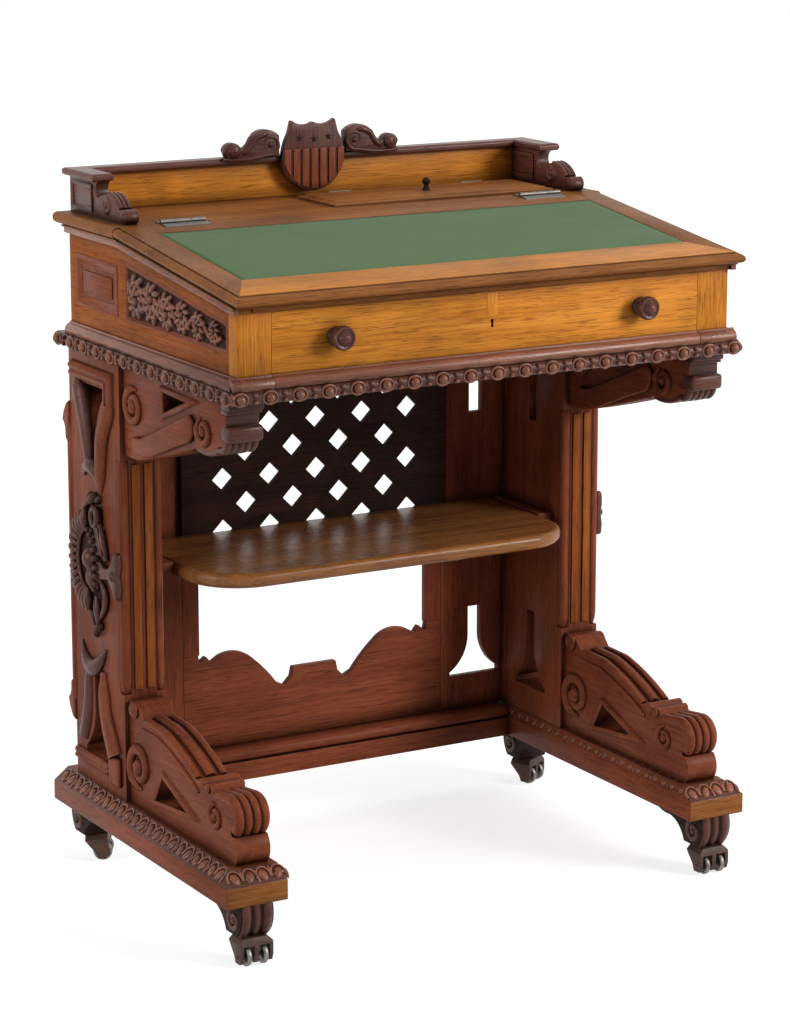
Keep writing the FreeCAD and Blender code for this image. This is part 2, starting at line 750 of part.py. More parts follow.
# Back: wings, lattice, stiles and apron, with the shelf in front
def back_wing():
    inner = opening_half + S.stile_width
    outline = rectangle((-standard_inside, base_top), (-inner, stand_top))
    centre = S.piercing_width / 2 + 6.0 - standard_inside
    loops = [outline, bell(centre, base_top + S.wing_sill, S.wing_height),
             bell(centre, stand_top - S.wing_sill, -S.wing_height)]
    left = back_board("wing", panel_back, loops, S.panel_thick)
    keep(group("wing_pair", [left, mirrored("wing_mirrored", left)]), "back_wings")


def lattice_panel():
    body = new_body("lattice", (0.0, panel_front, 0.0))
    sketch = new_sketch(body, "XZ", "Profile")
    draw_loop(sketch, rectangle((-lattice_half, shelf_under - 10.0), (lattice_half, stand_top)))
    half = float(S.lattice_hole) / 2
    step = float(S.lattice_pitch) / 2
    border = float(lattice_half) - half * 1.9
    low = float(shelf_top)
    rows = int((float(stand_top) - low - half * 1.3) / step) + 1
    columns = int(border / step)
    for row in range(rows):
        for column in range(-columns, columns + 1):
            if (row + column) % 2 == 0:
                lattice_hole(sketch, column * step, low + row * step, half, border)
    feature = body.newObject("PartDesign::Pad", "latticePad")
    feature.Profile = sketch
    bind(feature, "Length", S.lattice_thick)
    keep(body, "lattice_panel")


def lattice_hole(sketch, across, level, half, border):
    """Diamond hole, halved where it meets the border."""
    corners = [
        (across - half, level), (across, level - half), (across + half, level), (across, level + half),
    ]
    if across - half < -border:
        corners = [(across, level - half), (across + half, level), (across, level + half)]
    elif across + half > border:
        corners = [(across, level + half), (across - half, level), (across, level - half)]
    for here, there in zip(corners, corners[1:] + corners[:1]):
        sketch.addGeometry(Part.LineSegment(flat(here), flat(there)), False)


def back_stiles():
    inner = opening_half
    left = box("stile", (-inner - S.stile_width, -inner), (panel_front, panel_back), (apron_top, stand_top))
    keep(group("stile_pair", [left, mirrored("stile_mirrored", left)]), "back_stiles")


def apron_panel():
    """Low board whose top edge is cut in scrolls about a raised middle."""
    half = opening_half + S.stile_width
    rise = S.apron_height

    def at(across, up):
        return (half * across, base_top + rise * up)

    right = [
        at(1.0, 0.0), at(1.0, 1.0), at(0.885, 1.0), at(0.875, 0.92), at(0.825, 0.98), at(0.79, 0.91),
        at(0.725, 0.967), arc(at(0.6, 0.99), at(0.472, 0.889)), arc(at(0.372, 0.743), at(0.296, 0.602)),
        at(0.232, 0.552), at(0.18, 0.63), at(0.166, 0.735),
    ]
    left = [
        at(-0.166, 0.735), at(-0.18, 0.63), at(-0.232, 0.552), at(-0.296, 0.602),
        arc(at(-0.372, 0.743), at(-0.472, 0.889)), arc(at(-0.6, 0.99), at(-0.725, 0.967)),
        at(-0.79, 0.91), at(-0.825, 0.98), at(-0.875, 0.92), at(-0.885, 1.0), at(-1.0, 1.0), at(-1.0, 0.0),
    ]
    keep(back_board("apron", panel_back, [right + left], S.panel_thick), "apron_panel")


def shelf():
    half = standard_inside - S.cleat_width
    back = lattice_front
    front = back - S.shelf_depth
    bow = S.shelf_corner * (1.0 - math.sqrt(0.5))
    body = new_body("shelf_board", (0.0, 0.0, shelf_under))
    outline = [
        (half, back), (-half, back), (-half, front + S.shelf_corner),
        arc((-half + bow, front + bow), (-half + S.shelf_corner, front)), (half - S.shelf_corner, front),
        arc((half - bow, front + bow), (half, front + S.shelf_corner)),
    ]
    board = pad(body, "XY", [outline], S.shelf_thick)
    nose = float(front + S.shelf_corner) + 0.5
    flat_edge = 0.01
    round_edges(body, board, S.shelf_thick * 0.4, lambda b: b.YMax < nose and b.ZLength < flat_edge)
    keep(body, "shelf")
    left = box("cleat", (-standard_inside, -half), (standard_front + S.cleat_inset, back),
               (shelf_under, shelf_top))
    keep(group("cleat_pair", [left, mirrored("cleat_mirrored", left)]), "shelf_cleats")


# Case: carved frame, floor, sides, posts, back and rails
def carved_frame():
    """Mitred frame with a rounded nose along the front and both sides."""
    nose = S.frame_height * 0.4
    waist = stand_top + S.frame_height / 2
    front_in = S.frame_width - S.frame_proud
    end = ledge_rear

    def plan(name, corners):
        body = new_body(name, (0.0, 0.0, stand_top))
        pad(body, "XY", [corners], S.frame_height)
        return body

    front = new_body("frame_front_bar", (0.0, 0.0, 0.0))
    pad(front, "YZ", [[
        (front_in, stand_top), (nose - S.frame_proud, stand_top),
        arc((-S.frame_proud, waist), (nose - S.frame_proud, case_floor)), (front_in, case_floor),
    ]], frame_outside * 2, centred=True)
    front_plan = plan("frame_front_plan", [
        (-frame_outside, -S.frame_proud), (frame_outside, -S.frame_proud),
        (frame_inside, front_in), (-frame_inside, front_in)])
    side = new_body("frame_side_bar", (0.0, end, 0.0))
    pad(side, "XZ", [[
        (-frame_inside, stand_top), (-frame_inside, case_floor), (nose - frame_outside, case_floor),
        arc((-frame_outside, waist), (nose - frame_outside, stand_top)),
    ]], end + S.frame_proud)
    side_plan = plan("frame_side_plan", [
        (-frame_outside, -S.frame_proud), (-frame_inside, front_in),
        (-frame_inside, end), (-frame_outside, end)])
    left = common("frame_left", side, side_plan)
    pieces = [common("frame_front", front, front_plan), left, mirrored("frame_mirrored", left)]
    keep(group("frame_group", pieces), "carved_frame")


def case_floor_board():
    front = S.frame_width - S.frame_proud
    keep(box("case_floor_box", (-frame_inside, frame_inside), (front, S.case_depth),
             (stand_top, case_floor)), "case_floor")


def carved_outline(margin):
    """Tapered field of the carved side panel, drawn in by a margin."""
    low = face_low + S.panel_low + margin
    front = S.post_depth + 4.0 + margin
    back = hinge_line - 9.0 - margin
    drop = S.cornice_height + 16.0 + margin
    return [(front, low), (back, low), (back, lid_under(back) - drop), (front, lid_under(front) - drop)]


def plain_outline(margin):
    """Upright field of the plain side panel behind it, drawn in by a margin."""
    low = (hinge_line + 12.0 + margin, face_low + S.panel_low + 2.0 + margin)
    high = (S.case_depth - 20.0 - margin, ledge_under - S.cornice_height - 24.0 - margin)
    return rectangle(low, high)


def case_sides():
    back_top = ledge_under
    body = new_body("case_side", (-case_half, 0.0, 0.0))
    outline = [
        (S.post_depth, case_floor), (S.case_depth, case_floor), (S.case_depth, back_top),
        (hinge_line, back_top), (S.post_depth, lid_under(S.post_depth)),
    ]
    pad(body, "YZ", [outline], S.side_thick)
    pocket(body, "YZ", [carved_outline(0.0), plain_outline(0.0)], S.panel_recess, "Panels", reverse=True)
    both_sides("case_side", body)


def case_panels():
    gap = 0.2
    sunk = case_half - S.panel_recess + S.panel_plate
    carved = side_board("carved_panel", sunk, [carved_outline(gap)], S.panel_plate)
    plain = side_board("plain_panel", sunk, [plain_outline(gap)], S.panel_plate)
    for name, piece in (("carved_panels", carved), ("plain_panels", plain)):
        keep(group(name + "_pair", [piece, mirrored(name + "_mirrored", piece)]), name)


def front_posts():
    left = box("post", (-case_half, -drawer_opening), (0.0, S.post_depth), (case_floor, face_top))
    keep(group("post_pair", [left, mirrored("post_mirrored", left)]), "front_posts")


def case_back():
    keep(box("case_back_box", (-case_inside, case_inside), (S.case_depth - S.back_thick, S.case_depth),
             (case_floor, ledge_under)), "case_back")


def drawer_guides():
    left = box("guide", (-case_inside, -drawer_opening), (S.post_depth, S.case_depth - S.back_thick),
               (case_floor, face_top - S.well_floor_thick))
    keep(group("guide_pair", [left, mirrored("guide_mirrored", left)]), "drawer_guides")


rail_end = S.drawer_front_thick + S.rail_back
well_back = hinge_line + 2.0
rail_thick = S.side_thick * 0.9


def well_boards():
    keep(box("well_floor_box", (-case_inside, case_inside), (rail_end, well_back + rail_thick),
             (face_top - S.well_floor_thick, face_top)), "well_floor")
    keep(box("well_back_box", (-case_inside, case_inside), (well_back, well_back + rail_thick),
             (face_top, ledge_under)), "well_back_rail")


bolt_front = S.drawer_front_thick - S.lock_thick + 2.0


def front_rail():
    """Moulded rail over the drawer, mortised for the lock bolt."""
    back = rail_end
    nose = -S.cornice_proud
    body = new_body("front_rail_bar", (0.0, 0.0, 0.0))
    outline = [
        (back, face_top), (-1.0, face_top), (nose * 0.6, face_top + 2.0),
        arc((nose * 0.9, lid_under(nose) - 4.5), (nose, lid_under(nose) - 2.5)), (nose, lid_under(nose)),
        (back, lid_under(back)),
    ]
    pad(body, "YZ", [outline], case_inside * 2, centred=True)
    mortise = S.bolt_gap * 2
    low = (-S.bolt_width / 2 - mortise, bolt_front - mortise)
    high = (S.bolt_width / 2 + mortise, bolt_front + S.bolt_thick + mortise)
    pocket(body, "XY", [rectangle(low, high)], S.bolt_travel + 1.0, "Mortise", reverse=True, offset=face_top)
    keep(body, "front_rail")


def ovolo_profile(wall, sign):
    """Stepped quarter-round on a wall at the given place, proud of it by sign."""
    proud = S.ovolo_proud * sign
    return [
        (wall, case_floor), (wall + proud, case_floor), (wall + proud, case_floor + S.ovolo_height * 0.3),
        arc((wall + proud * 0.72, case_floor + S.ovolo_height * 0.7),
            (wall + proud * 0.25, case_floor + S.ovolo_height * 0.86)),
        (wall + proud * 0.25, face_low), (wall, face_low),
    ]


def case_mouldings():
    """Lower moulding round the sides and posts, and the small moulding under the top."""
    side = new_body("ovolo_side", (0.0, S.case_depth, 0.0))
    pad(side, "XZ", [ovolo_profile(-case_half, -1.0)], S.case_depth)
    post = new_body("ovolo_post", (-case_half - S.ovolo_proud, 0.0, 0.0))
    pad(post, "YZ", [ovolo_profile(sized(0.0), -1.0)], S.post_width + S.ovolo_proud)
    high = hinge_line
    drop = S.cornice_height
    outline = [
        (-S.cornice_proud, lid_under(-S.cornice_proud)), (high, lid_under(high)),
        (S.case_depth, ledge_under), (S.case_depth, ledge_under - drop), (high, lid_under(high) - drop),
        (-S.cornice_proud, lid_under(-S.cornice_proud) - drop),
    ]
    cornice = side_board("cornice_side", case_half + S.cornice_proud, [outline], S.cornice_proud)
    pieces = []
    for piece in (side, post, cornice):
        pieces += [piece, mirrored(piece.Name + "_mirrored", piece)]
    keep(group("case_moulding_group", pieces), "case_mouldings")


# Ledge, pen compartment and gallery
tray_front = pen_lid_front + S.pen_lid_lap
tray_back = pen_lid_back - S.pen_lid_lap
tray_left = pen_lid_left + S.pen_lid_lap
tray_right = pen_lid_right - S.pen_lid_lap


def ledge():
    front = hinge_line + S.lid_gap
    back = ledge_rear
    body = new_body("ledge_board", (0.0, 0.0, ledge_under))
    loops = [
        rectangle((-top_half, front), (top_half, back)),
        rectangle((tray_left, tray_front), (tray_right, tray_back)),
    ]
    board = pad(body, "XY", loops, S.top_thick)
    side = float(top_half) - 0.01
    rear = float(back) - 0.01

    def outer(b):
        return b.ZLength < 0.01 and (b.XMax < -side or b.XMin > side or b.YMin > rear)

    round_edges(body, board, S.edge_round, outer)
    keep(body, "ledge")


def pen_tray():
    wall = S.pen_tray_wall
    low = ledge_under - S.pen_tray_depth
    outer = box("tray_outer", (tray_left - wall, tray_right + wall), (tray_front - wall, tray_back + wall),
                (low, ledge_under))
    inner = box("tray_inner", (tray_left, tray_right), (tray_front, tray_back),
                (low + wall, ledge_under + 1.0))
    keep(cut("tray_hollow", outer, inner), "pen_tray")


def hinge_barrel(name, start, length, centre):
    """Knuckle with its tongue's radius, along X."""
    return cylinder(name, "x", S.knuckle_diameter / 2, length, (start, centre[0], centre[1]))


slope_axis = (hinge_line + S.lid_gap / 2, ledge_top + S.knuckle_diameter / 2 + 0.2)
pen_axis = (pen_lid_back + S.leaf_thick + S.knuckle_diameter / 2 + 0.3, slope_axis[1])


def knuckles(length):
    """Start and length of the three knuckles of a hinge, from its left end."""
    part = length / 3
    short = part - S.knuckle_gap
    return ((sized(0.0), short), (part, part), (part * 2 + S.knuckle_gap, short))


def fixed_leaf(name, axis, start, length):
    """Leaf on the ledge with its two outer knuckles and the pin."""
    reach = S.knuckle_diameter / 2 + 0.4
    pieces = [box(name + "_leaf", (start, start + length), (axis[0] + reach, axis[0] + S.leaf_width),
                  (ledge_top, ledge_top + S.leaf_thick))]
    outer = knuckles(length)
    for number in (0, 2):
        begin, part = outer[number]
        pieces.append(hinge_barrel("%s_knuckle_%d" % (name, number), start + begin, part, axis))
        pieces.append(box("%s_tongue_%d" % (name, number), (start + begin, start + begin + part),
                          (axis[0], axis[0] + reach), (ledge_top, ledge_top + S.leaf_thick)))
    pieces.append(cylinder(name + "_pin", "x", S.hinge_pin / 2, length, (start, axis[0], axis[1])))
    return fuse(name + "_fixed", pieces)


def moving_knuckle(name, axis, start, length, leaf):
    """Middle knuckle with its leaf, bored for the pin."""
    begin, part = knuckles(length)[1]
    barrel = hinge_barrel(name + "_barrel", start + begin, part, axis)
    radius = S.hinge_pin / 2 + S.running_clearance
    bore = cylinder(name + "_bore", "x", radius, length, (start, axis[0], axis[1]))
    joined = fuse(name + "_joined", [barrel] + leaf(name, start, start + begin, part))
    return cut(name + "_moving", joined, bore)


def slope_leaf(name, start, begin, part):
    """Leaf on the writing slope, with the tongue that meets the knuckle."""
    near = hinge_line - S.knuckle_diameter / 2 - 0.3
    far = hinge_line - S.leaf_width
    thick = S.leaf_thick

    def strip(label, first, last, left, width):
        body = new_body(name + label, (left, 0.0, 0.0))
        corners = [(first, lid_top(first)), (last, lid_top(last)), (last, lid_top(last) + thick),
                   (first, lid_top(first) + thick)]
        pad(body, "YZ", [corners], width)
        return body

    return [strip("_leaf", far, near, start, S.hinge_length),
            strip("_tongue", near, hinge_line - S.lid_gap / 2, begin, part)]


def pen_leaf(name, start, begin, part):
    """Leaf on the back edge of the pen lid."""
    high = ledge_top + S.pen_lid_thick
    return [
        box(name + "_plate", (start, start + S.pen_hinge_length), (pen_lid_back, pen_lid_back + S.leaf_thick),
            (ledge_top + 0.2, high)),
        box(name + "_tongue", (begin, begin + part), (pen_lid_back, pen_axis[0]),
            (pen_axis[1] - S.leaf_thick / 2, pen_axis[1] + S.leaf_thick / 2)),
    ]


slope_hinge_starts = (-hinge_place - S.hinge_length / 2, hinge_place - S.hinge_length / 2)
pen_hinge_starts = (pen_lid_left + S.pen_hinge_inset - S.pen_hinge_length / 2,
                    pen_lid_right - S.pen_hinge_inset - S.pen_hinge_length / 2)


def hinges():
    fixed = []
    for number, start in enumerate(slope_hinge_starts):
        fixed.append(fixed_leaf("slope_hinge_%d" % number, slope_axis, start, S.hinge_length))
    for number, start in enumerate(pen_hinge_starts):
        fixed.append(fixed_leaf("pen_hinge_%d" % number, pen_axis, start, S.pen_hinge_length))
    keep(group("fixed_leaf_group", fixed), "ledge_hinge_leaves")
    slope_side = [moving_knuckle("slope_side_%d" % number, slope_axis, start, S.hinge_length, slope_leaf)
                  for number, start in enumerate(slope_hinge_starts)]
    keep(group("slope_leaf_group", slope_side), "slope_hinge_leaves")
    pen_side = [moving_knuckle("pen_side_%d" % number, pen_axis, start, S.pen_hinge_length, pen_leaf)
                for number, start in enumerate(pen_hinge_starts)]
    keep(group("pen_leaf_group", pen_side), "pen_hinge_leaves")


def gallery():
    inner = gallery_half - S.gallery_end_thick
    board = box("gallery_box", (-inner, inner), (gallery_front, gallery_back), (ledge_top, gallery_top))
    keep(board, "gallery_board")
    reach = S.gallery_end_reach
    rise = S.gallery_height

    def at(along, up):
        return (gallery_back - reach * along, ledge_top + rise * up)

    outline = [
        at(0.0, 0.0), at(0.955, 0.0), arc(at(1.0, 0.2), at(0.955, 0.41)), at(0.885, 0.37),
        arc(at(0.8, 0.6), at(0.7, 0.735)), at(0.6, 0.67), at(0.5, 0.55), arc(at(0.465, 0.76), at(0.55, 1.0)),
        at(0.0, 1.0),
    ]
    left = side_board("gallery_end", gallery_half, [outline], S.gallery_end_thick)
    keep(group("gallery_end_pair", [left, mirrored("gallery_end_mirrored", left)]), "gallery_ends")
    half = gallery_half + S.cap_proud
    tongue = inner - S.cap_proud * 0.3
    front = gallery_back - S.cap_return
    body = new_body("cap_board", (0.0, 0.0, gallery_top))
    board = pad(body, "XY", [[
        (-half, cap_back), (-half, front), (-tongue, front), (-tongue, cap_front),
        (tongue, cap_front), (tongue, front), (half, front), (half, cap_back),
    ]], S.cap_thick)
    round_edges(body, board, S.cap_thick * 0.4, lambda b: b.ZLength < 0.01)
    keep(body, "gallery_cap")


def crest():
    """Shield over the middle of the gallery, with a scroll on the cap at each side."""
    half = S.shield_half
    rise = S.shield_height
    tip = ledge_top + S.shield_tip

    def at(across, up):
        return (half * across, tip + rise * up)

    outline = [
        at(0.0, 0.0), arc(at(0.72, 0.14), at(0.98, 0.45)), arc(at(0.93, 0.63), at(0.77, 0.82)), at(0.68, 1.0),
        arc(at(0.34, 0.94), at(0.0, 0.975)), arc(at(-0.34, 0.94), at(-0.68, 1.0)), at(-0.77, 0.82),
        arc(at(-0.93, 0.63), at(-0.98, 0.45)), arc(at(-0.72, 0.14), at(0.0, 0.0)),
    ]
    back = crest_front + S.crest_thick
    plate = back_board("shield_plate", back, [outline], S.crest_thick + S.shield_thick)
    across = (-half * 2, half * 2)
    channel = box("shield_channel", across, (cap_front, gallery_back), (gallery_top, cap_top))
    rebate = box("shield_rebate", across, (gallery_front, gallery_back), (ledge_top, gallery_top + 1.0))
    keep(cut("shield_cut", plate, fuse("shield_seat", [channel, rebate])), "crest_shield")
    reach = S.crest_reach - half
    tall = S.crest_height

    def along(out, up):
        return (-half - reach * out, cap_top + tall * up)

    scroll = [
        along(0.0, 0.0), along(0.0, 0.76), arc(along(0.2, 1.0), along(0.45, 0.85)),
        arc(along(0.56, 0.46), along(0.7, 0.33)), arc(along(0.87, 0.58), along(1.0, 0.3)), along(0.94, 0.0),
    ]
    left = back_board("crest_scroll", back, [scroll], S.crest_thick)
    keep(group("crest_scroll_pair", [left, mirrored("crest_scroll_mirrored", left)]), "crest_scrolls")


# Writing slope
def writing_slope():
    front = -S.lid_overhang
    back = hinge_line
    body = new_body("slope_board", (0.0, 0.0, 0.0))
    nose = front + S.edge_round
    outline = [
        (back, lid_under(back)), (back, lid_top(back)), (nose, lid_top(nose)),
        arc((front, lid_top(front) - S.top_thick / 2), (nose, lid_under(nose))),
    ]
    board = pad(body, "YZ", [outline], top_half * 2, centred=True)
    side = float(top_half) - 0.01
    run = float(back - front) / 2

    def long_side(b):
        return (b.XMax < -side or b.XMin > side) and b.YLength > run

    rounded = round_edges(body, board, S.edge_round, long_side)
    doc.recompute()
    body.Tip = rounded
    low = S.baize_sunk
    bed = [
        (S.baize_front, lid_top(S.baize_front) - low), (baize_back, lid_top(baize_back) - low),
        (baize_back, lid_top(baize_back) + 2.0), (S.baize_front, lid_top(S.baize_front) + 2.0),
    ]
    pocket(body, "YZ", [bed], baize_width, "Bed", centred=True)
    keep(body, "writing_slope")


def baize():
    gap = 0.4
    front = S.baize_front + gap
    back = baize_back - gap
    low = S.baize_sunk - S.baize_thick
    corners = [
        (front, lid_top(front) - S.baize_sunk), (back, lid_top(back) - S.baize_sunk),
        (back, lid_top(back) - low), (front, lid_top(front) - low),
    ]
    body = new_body("baize_cloth", (0.0, 0.0, 0.0))
    pad(body, "YZ", [corners], baize_width - gap * 2, centred=True)
    keep(body, "baize")


# Pen lid and its knob
def pen_lid():
    high = ledge_top + S.pen_lid_thick
    body = new_body("pen_lid_board", (0.0, 0.0, ledge_top))
    outline = rectangle((pen_lid_left, pen_lid_front), (pen_lid_right, pen_lid_back))
    board = pad(body, "XY", [outline], S.pen_lid_thick)
    rear = float(pen_lid_back) - 0.01
    level = float(S.pen_lid_thick) - 0.01
    round_edges(body, board, S.pen_lid_thick * 0.4, lambda b: b.ZMin > level and b.YMin < rear)
    keep(body, "pen_lid")
    radius = S.pen_knob_diameter / 2
    rise = S.pen_knob_height
    across = (pen_lid_left + pen_lid_right) / 2
    knob = new_body("pen_knob", (across, (pen_lid_front + pen_lid_back) / 2, high))
    turned(knob, "XZ", [
        (0.0, 0.0), (radius, 0.0), (radius * 0.8, rise * 0.18), (radius * 0.6, rise * 0.3),
        (radius * 0.6, rise - radius * 1.8), arc((radius, rise - radius), (0.0, rise)),
    ])
    keep(knob, "pen_lid_knob")


def turned(body, plane, outline):
    """Turn an outline about the upright axis of its sketch."""
    sketch = new_sketch(body, plane, "Profile")
    draw_loop(sketch, outline)
    feature = body.newObject("PartDesign::Revolution", body.Name + "Turned")
    feature.Profile = sketch
    feature.ReferenceAxis = (sketch, ["V_Axis"])
    feature.Angle = 360.0
    return feature


# Drawer
drawer_half = drawer_opening - S.drawer_gap
drawer_low = case_floor + S.drawer_gap
drawer_high = face_top - S.drawer_gap
drawer_back_face = S.case_depth - S.back_thick - S.drawer_short
side_high = drawer_high - S.drawer_side_drop
keyhole_level = face_low + S.knob_level - 3.0
lock_low = drawer_high - S.lock_height


def drawer_front():
    thick = S.drawer_front_thick
    board = box("drawer_front_board", (-drawer_half, drawer_half), (0.0, thick), (drawer_low, drawer_high))
    half = S.lock_width / 2 + 0.2
    seat = box("lock_seat", (-half, half), (thick - S.lock_thick, thick + 1.0),
               (lock_low - 0.2, drawer_high + 1.0))
    level = keyhole_level + S.keyhole_height * 0.3
    eye = cylinder("keyhole_eye", "y", S.keyhole_width * 0.7, thick, (0.0, 0.0, level))
    slot = box("keyhole_slot", (-S.keyhole_width / 2, S.keyhole_width / 2), (0.0, thick),
               (keyhole_level - S.keyhole_height / 2, keyhole_level + S.keyhole_height * 0.3))
    keep(cut("drawer_front_cut", board, fuse("drawer_front_openings", [seat, eye, slot])), "drawer_front")
    strip = new_body("drawer_ovolo_strip", (-drawer_half, 0.0, S.drawer_gap))
    pad(strip, "YZ", [ovolo_profile(sized(0.0), -1.0)], drawer_half * 2)
    keep(strip, "drawer_moulding")


def drawer_box():
    outer = drawer_half
    inner = outer - S.drawer_side_thick
    front = S.drawer_front_thick
    left = box("drawer_side", (-outer, -inner), (front, drawer_back_face), (drawer_low, side_high))
    keep(group("drawer_side_pair", [left, mirrored("drawer_side_mirrored", left)]), "drawer_sides")
    floor_low = drawer_low + S.drawer_floor_raise
    floor_high = floor_low + S.drawer_floor_thick
    board = box("drawer_floor_box", (-inner, inner), (front, drawer_back_face), (floor_low, floor_high))
    keep(board, "drawer_bottom")
    keep(box("drawer_back_box", (-inner, inner), (drawer_back_face - S.drawer_back_thick, drawer_back_face),
             (floor_high, side_high)), "drawer_back")


def drawer_knobs():
    radius = S.knob_diameter / 2
    length = S.knob_length
    body = new_body("knob", (-knob_place, 0.0, face_low + S.knob_level))
    body.Placement.Rotation = FreeCAD.Rotation(FreeCAD.Vector(0, 0, 1), 180)
    turned(body, "XY", [
        (0.0, 0.0), (radius * 0.78, 0.0), (radius * 0.78, length * 0.1), (radius * 0.55, length * 0.2),
        arc((radius * 0.48, length * 0.3), (radius * 0.62, length * 0.42)),
        arc((radius, length * 0.62), (radius * 0.74, length * 0.85)), (radius * 0.42, length * 0.96),
        (radius * 0.15, length), (0.0, length),
    ])
    keep(group("knob_pair", [body, mirrored("knob_mirrored", body)]), "drawer_knobs")


def drawer_lock():
    back = S.drawer_front_thick
    gap = S.bolt_gap
    bolt_low = drawer_high - S.bolt_height - 0.5
    half = S.lock_width / 2
    case = box("lock_case", (-half, half), (back - S.lock_thick, back), (lock_low, drawer_high))
    channel = box("lock_channel", (-S.bolt_width / 2 - gap, S.bolt_width / 2 + gap),
                  (bolt_front - gap, bolt_front + S.bolt_thick + gap), (bolt_low - gap, drawer_high + 1.0))
    keep(cut("lock_hollow", case, channel), "drawer_lock")
    keep(box("bolt_box", (-S.bolt_width / 2, S.bolt_width / 2), (bolt_front, bolt_front + S.bolt_thick),
             (bolt_low, drawer_high - 0.5)), "lock_bolt")


def build():
    base_runner()
    base_back_rail()
    foot_blocks()
    for corner in caster_turns:
        caster_fork(corner)
        caster_wheels(corner)
    side_standard()
    foot_console()
    top_bracket()
    cartouches()
    back_wing()
    lattice_panel()
    back_stiles()
    apron_panel()
    shelf()
    carved_frame()
    case_floor_board()
    case_sides()
    case_panels()
    front_posts()
    case_back()
    drawer_guides()
    well_boards()
    front_rail()
    case_mouldings()
    ledge()
    pen_tray()
    hinges()
    gallery()
    crest()
    writing_slope()
    baize()
    pen_lid()
    drawer_front()
    drawer_box()
    drawer_knobs()
    drawer_lock()


def write():
    """Check every object, then write each piece to its own file."""
    doc.recompute()
    broken = [item.Name for item in doc.Objects if "Invalid" in item.State or "Error" in item.State]
    for node in nodes:
        if node.Shape.isNull() or not node.Shape.isValid() or not node.Shape.Solids:
            broken.append(node.Label)
    if broken:
        raise ValueError("not sound: " + ", ".join(broken))
    os.makedirs("parts", exist_ok=True)
    for node in nodes:
        node.Shape.exportStep("parts/%s.step" % node.Label)
    print(len(nodes), "pieces written")


build()
write()
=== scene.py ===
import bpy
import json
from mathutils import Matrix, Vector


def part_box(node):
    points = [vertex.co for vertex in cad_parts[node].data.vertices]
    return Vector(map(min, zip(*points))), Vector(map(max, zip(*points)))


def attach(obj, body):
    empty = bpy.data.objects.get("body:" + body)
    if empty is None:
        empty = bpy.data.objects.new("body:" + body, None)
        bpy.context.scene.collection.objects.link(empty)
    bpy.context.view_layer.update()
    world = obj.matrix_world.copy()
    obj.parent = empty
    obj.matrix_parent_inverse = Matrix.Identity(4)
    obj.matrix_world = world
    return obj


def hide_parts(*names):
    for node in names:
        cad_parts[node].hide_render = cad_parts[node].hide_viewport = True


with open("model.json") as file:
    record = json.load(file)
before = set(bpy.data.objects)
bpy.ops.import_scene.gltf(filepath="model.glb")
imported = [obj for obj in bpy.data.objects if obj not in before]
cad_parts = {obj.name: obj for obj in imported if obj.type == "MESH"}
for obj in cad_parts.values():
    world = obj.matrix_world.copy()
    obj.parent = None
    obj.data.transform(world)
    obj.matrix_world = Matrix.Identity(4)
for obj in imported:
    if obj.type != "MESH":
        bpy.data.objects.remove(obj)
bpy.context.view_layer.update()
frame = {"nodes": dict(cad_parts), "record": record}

import json
import math

import bmesh
import bpy
from mathutils import Vector

bl_info = {
    "name": "Davenport desk dressing",
    "version": (1, 0, 0),
    "blender": (4, 5, 0),
    "location": "3D View > Sidebar > Desk",
    "description": "Carving, cloth, ironwork and finishes of a carved oak davenport desk",
    "category": "Object",
}

# Places are in millimetres, Y from the drawer face, as in the part's own drawing
MM = 0.001
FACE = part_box("drawer_front")[0].y
OUT = Vector((-1, 0, 0))
FRONT = Vector((0, -1, 0))
UP = Vector((0, 0, 1))


def at(x, y, z):
    return Vector((x * MM, FACE + y * MM, z * MM))


def limits(node):
    """Lowest and highest corner of a node, in millimetres from the drawer face."""
    low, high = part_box(node)
    return [(c.x / MM, (c.y - FACE) / MM, c.z / MM) for c in (low, high)]


# Settings that a user would change
def tone(name, default, words):
    return bpy.props.FloatVectorProperty(
        name=name, description=words, subtype="COLOR", size=3, min=0, max=1, default=default)


def length(name, default, words):
    return bpy.props.FloatProperty(
        name=name, description=words, default=default, min=0, unit="LENGTH", subtype="DISTANCE")


WOOD_TONES = {
    "golden": ("Golden oak", (0.800, 0.300, 0.034), (0.500, 0.155, 0.013)),
    # A darker, redder copy of the golden oak, for the case sides and pilaster fillets: painted shade
    "amber": ("Golden oak in painted shade", (0.430, 0.128, 0.030), (0.240, 0.062, 0.014)),
    "brown": ("Brown oak", (0.370, 0.142, 0.040), (0.190, 0.064, 0.019)),
    "red": ("Red oak", (0.310, 0.082, 0.036), (0.180, 0.044, 0.021)),
    "umber": ("Umber oak", (0.370, 0.120, 0.058), (0.150, 0.050, 0.029)),
    "dark": ("Dark oak", (0.170, 0.057, 0.038), (0.085, 0.028, 0.020)),
    "black": ("Black oak", (0.052, 0.022, 0.016), (0.020, 0.010, 0.008)),
    "pine": ("Inner boards", (0.50, 0.32, 0.15), (0.32, 0.17, 0.07)),
}
OTHER_TONES = {
    "baize": ("Nap of the writing cloth", (0.092, 0.158, 0.070)),
    "baize_worn": ("Rubbed nap of the writing cloth", (0.128, 0.198, 0.098)),
    "iron": ("Caster forks", (0.040, 0.023, 0.016)),
    "rust": ("Brown bloom on the caster forks", (0.100, 0.036, 0.017)),
    "steel": ("Hinges and wheel rims", (0.22, 0.205, 0.19)),
}


def all_tones():
    """Colour settings by key: the light and dark growth of each wood, then cloth and metals."""
    made = {}
    for family, (label, *growths) in WOOD_TONES.items():
        for growth, colour in zip(("light", "dark"), growths):
            made["%s_%s" % (family, growth)] = tone(
                "%s, %s" % (label, growth), colour, "%s growth of the wood" % growth.capitalize())
    for key, (words, colour) in OTHER_TONES.items():
        made[key] = tone(key.replace("_", ", ").capitalize(), colour, words)
    return made


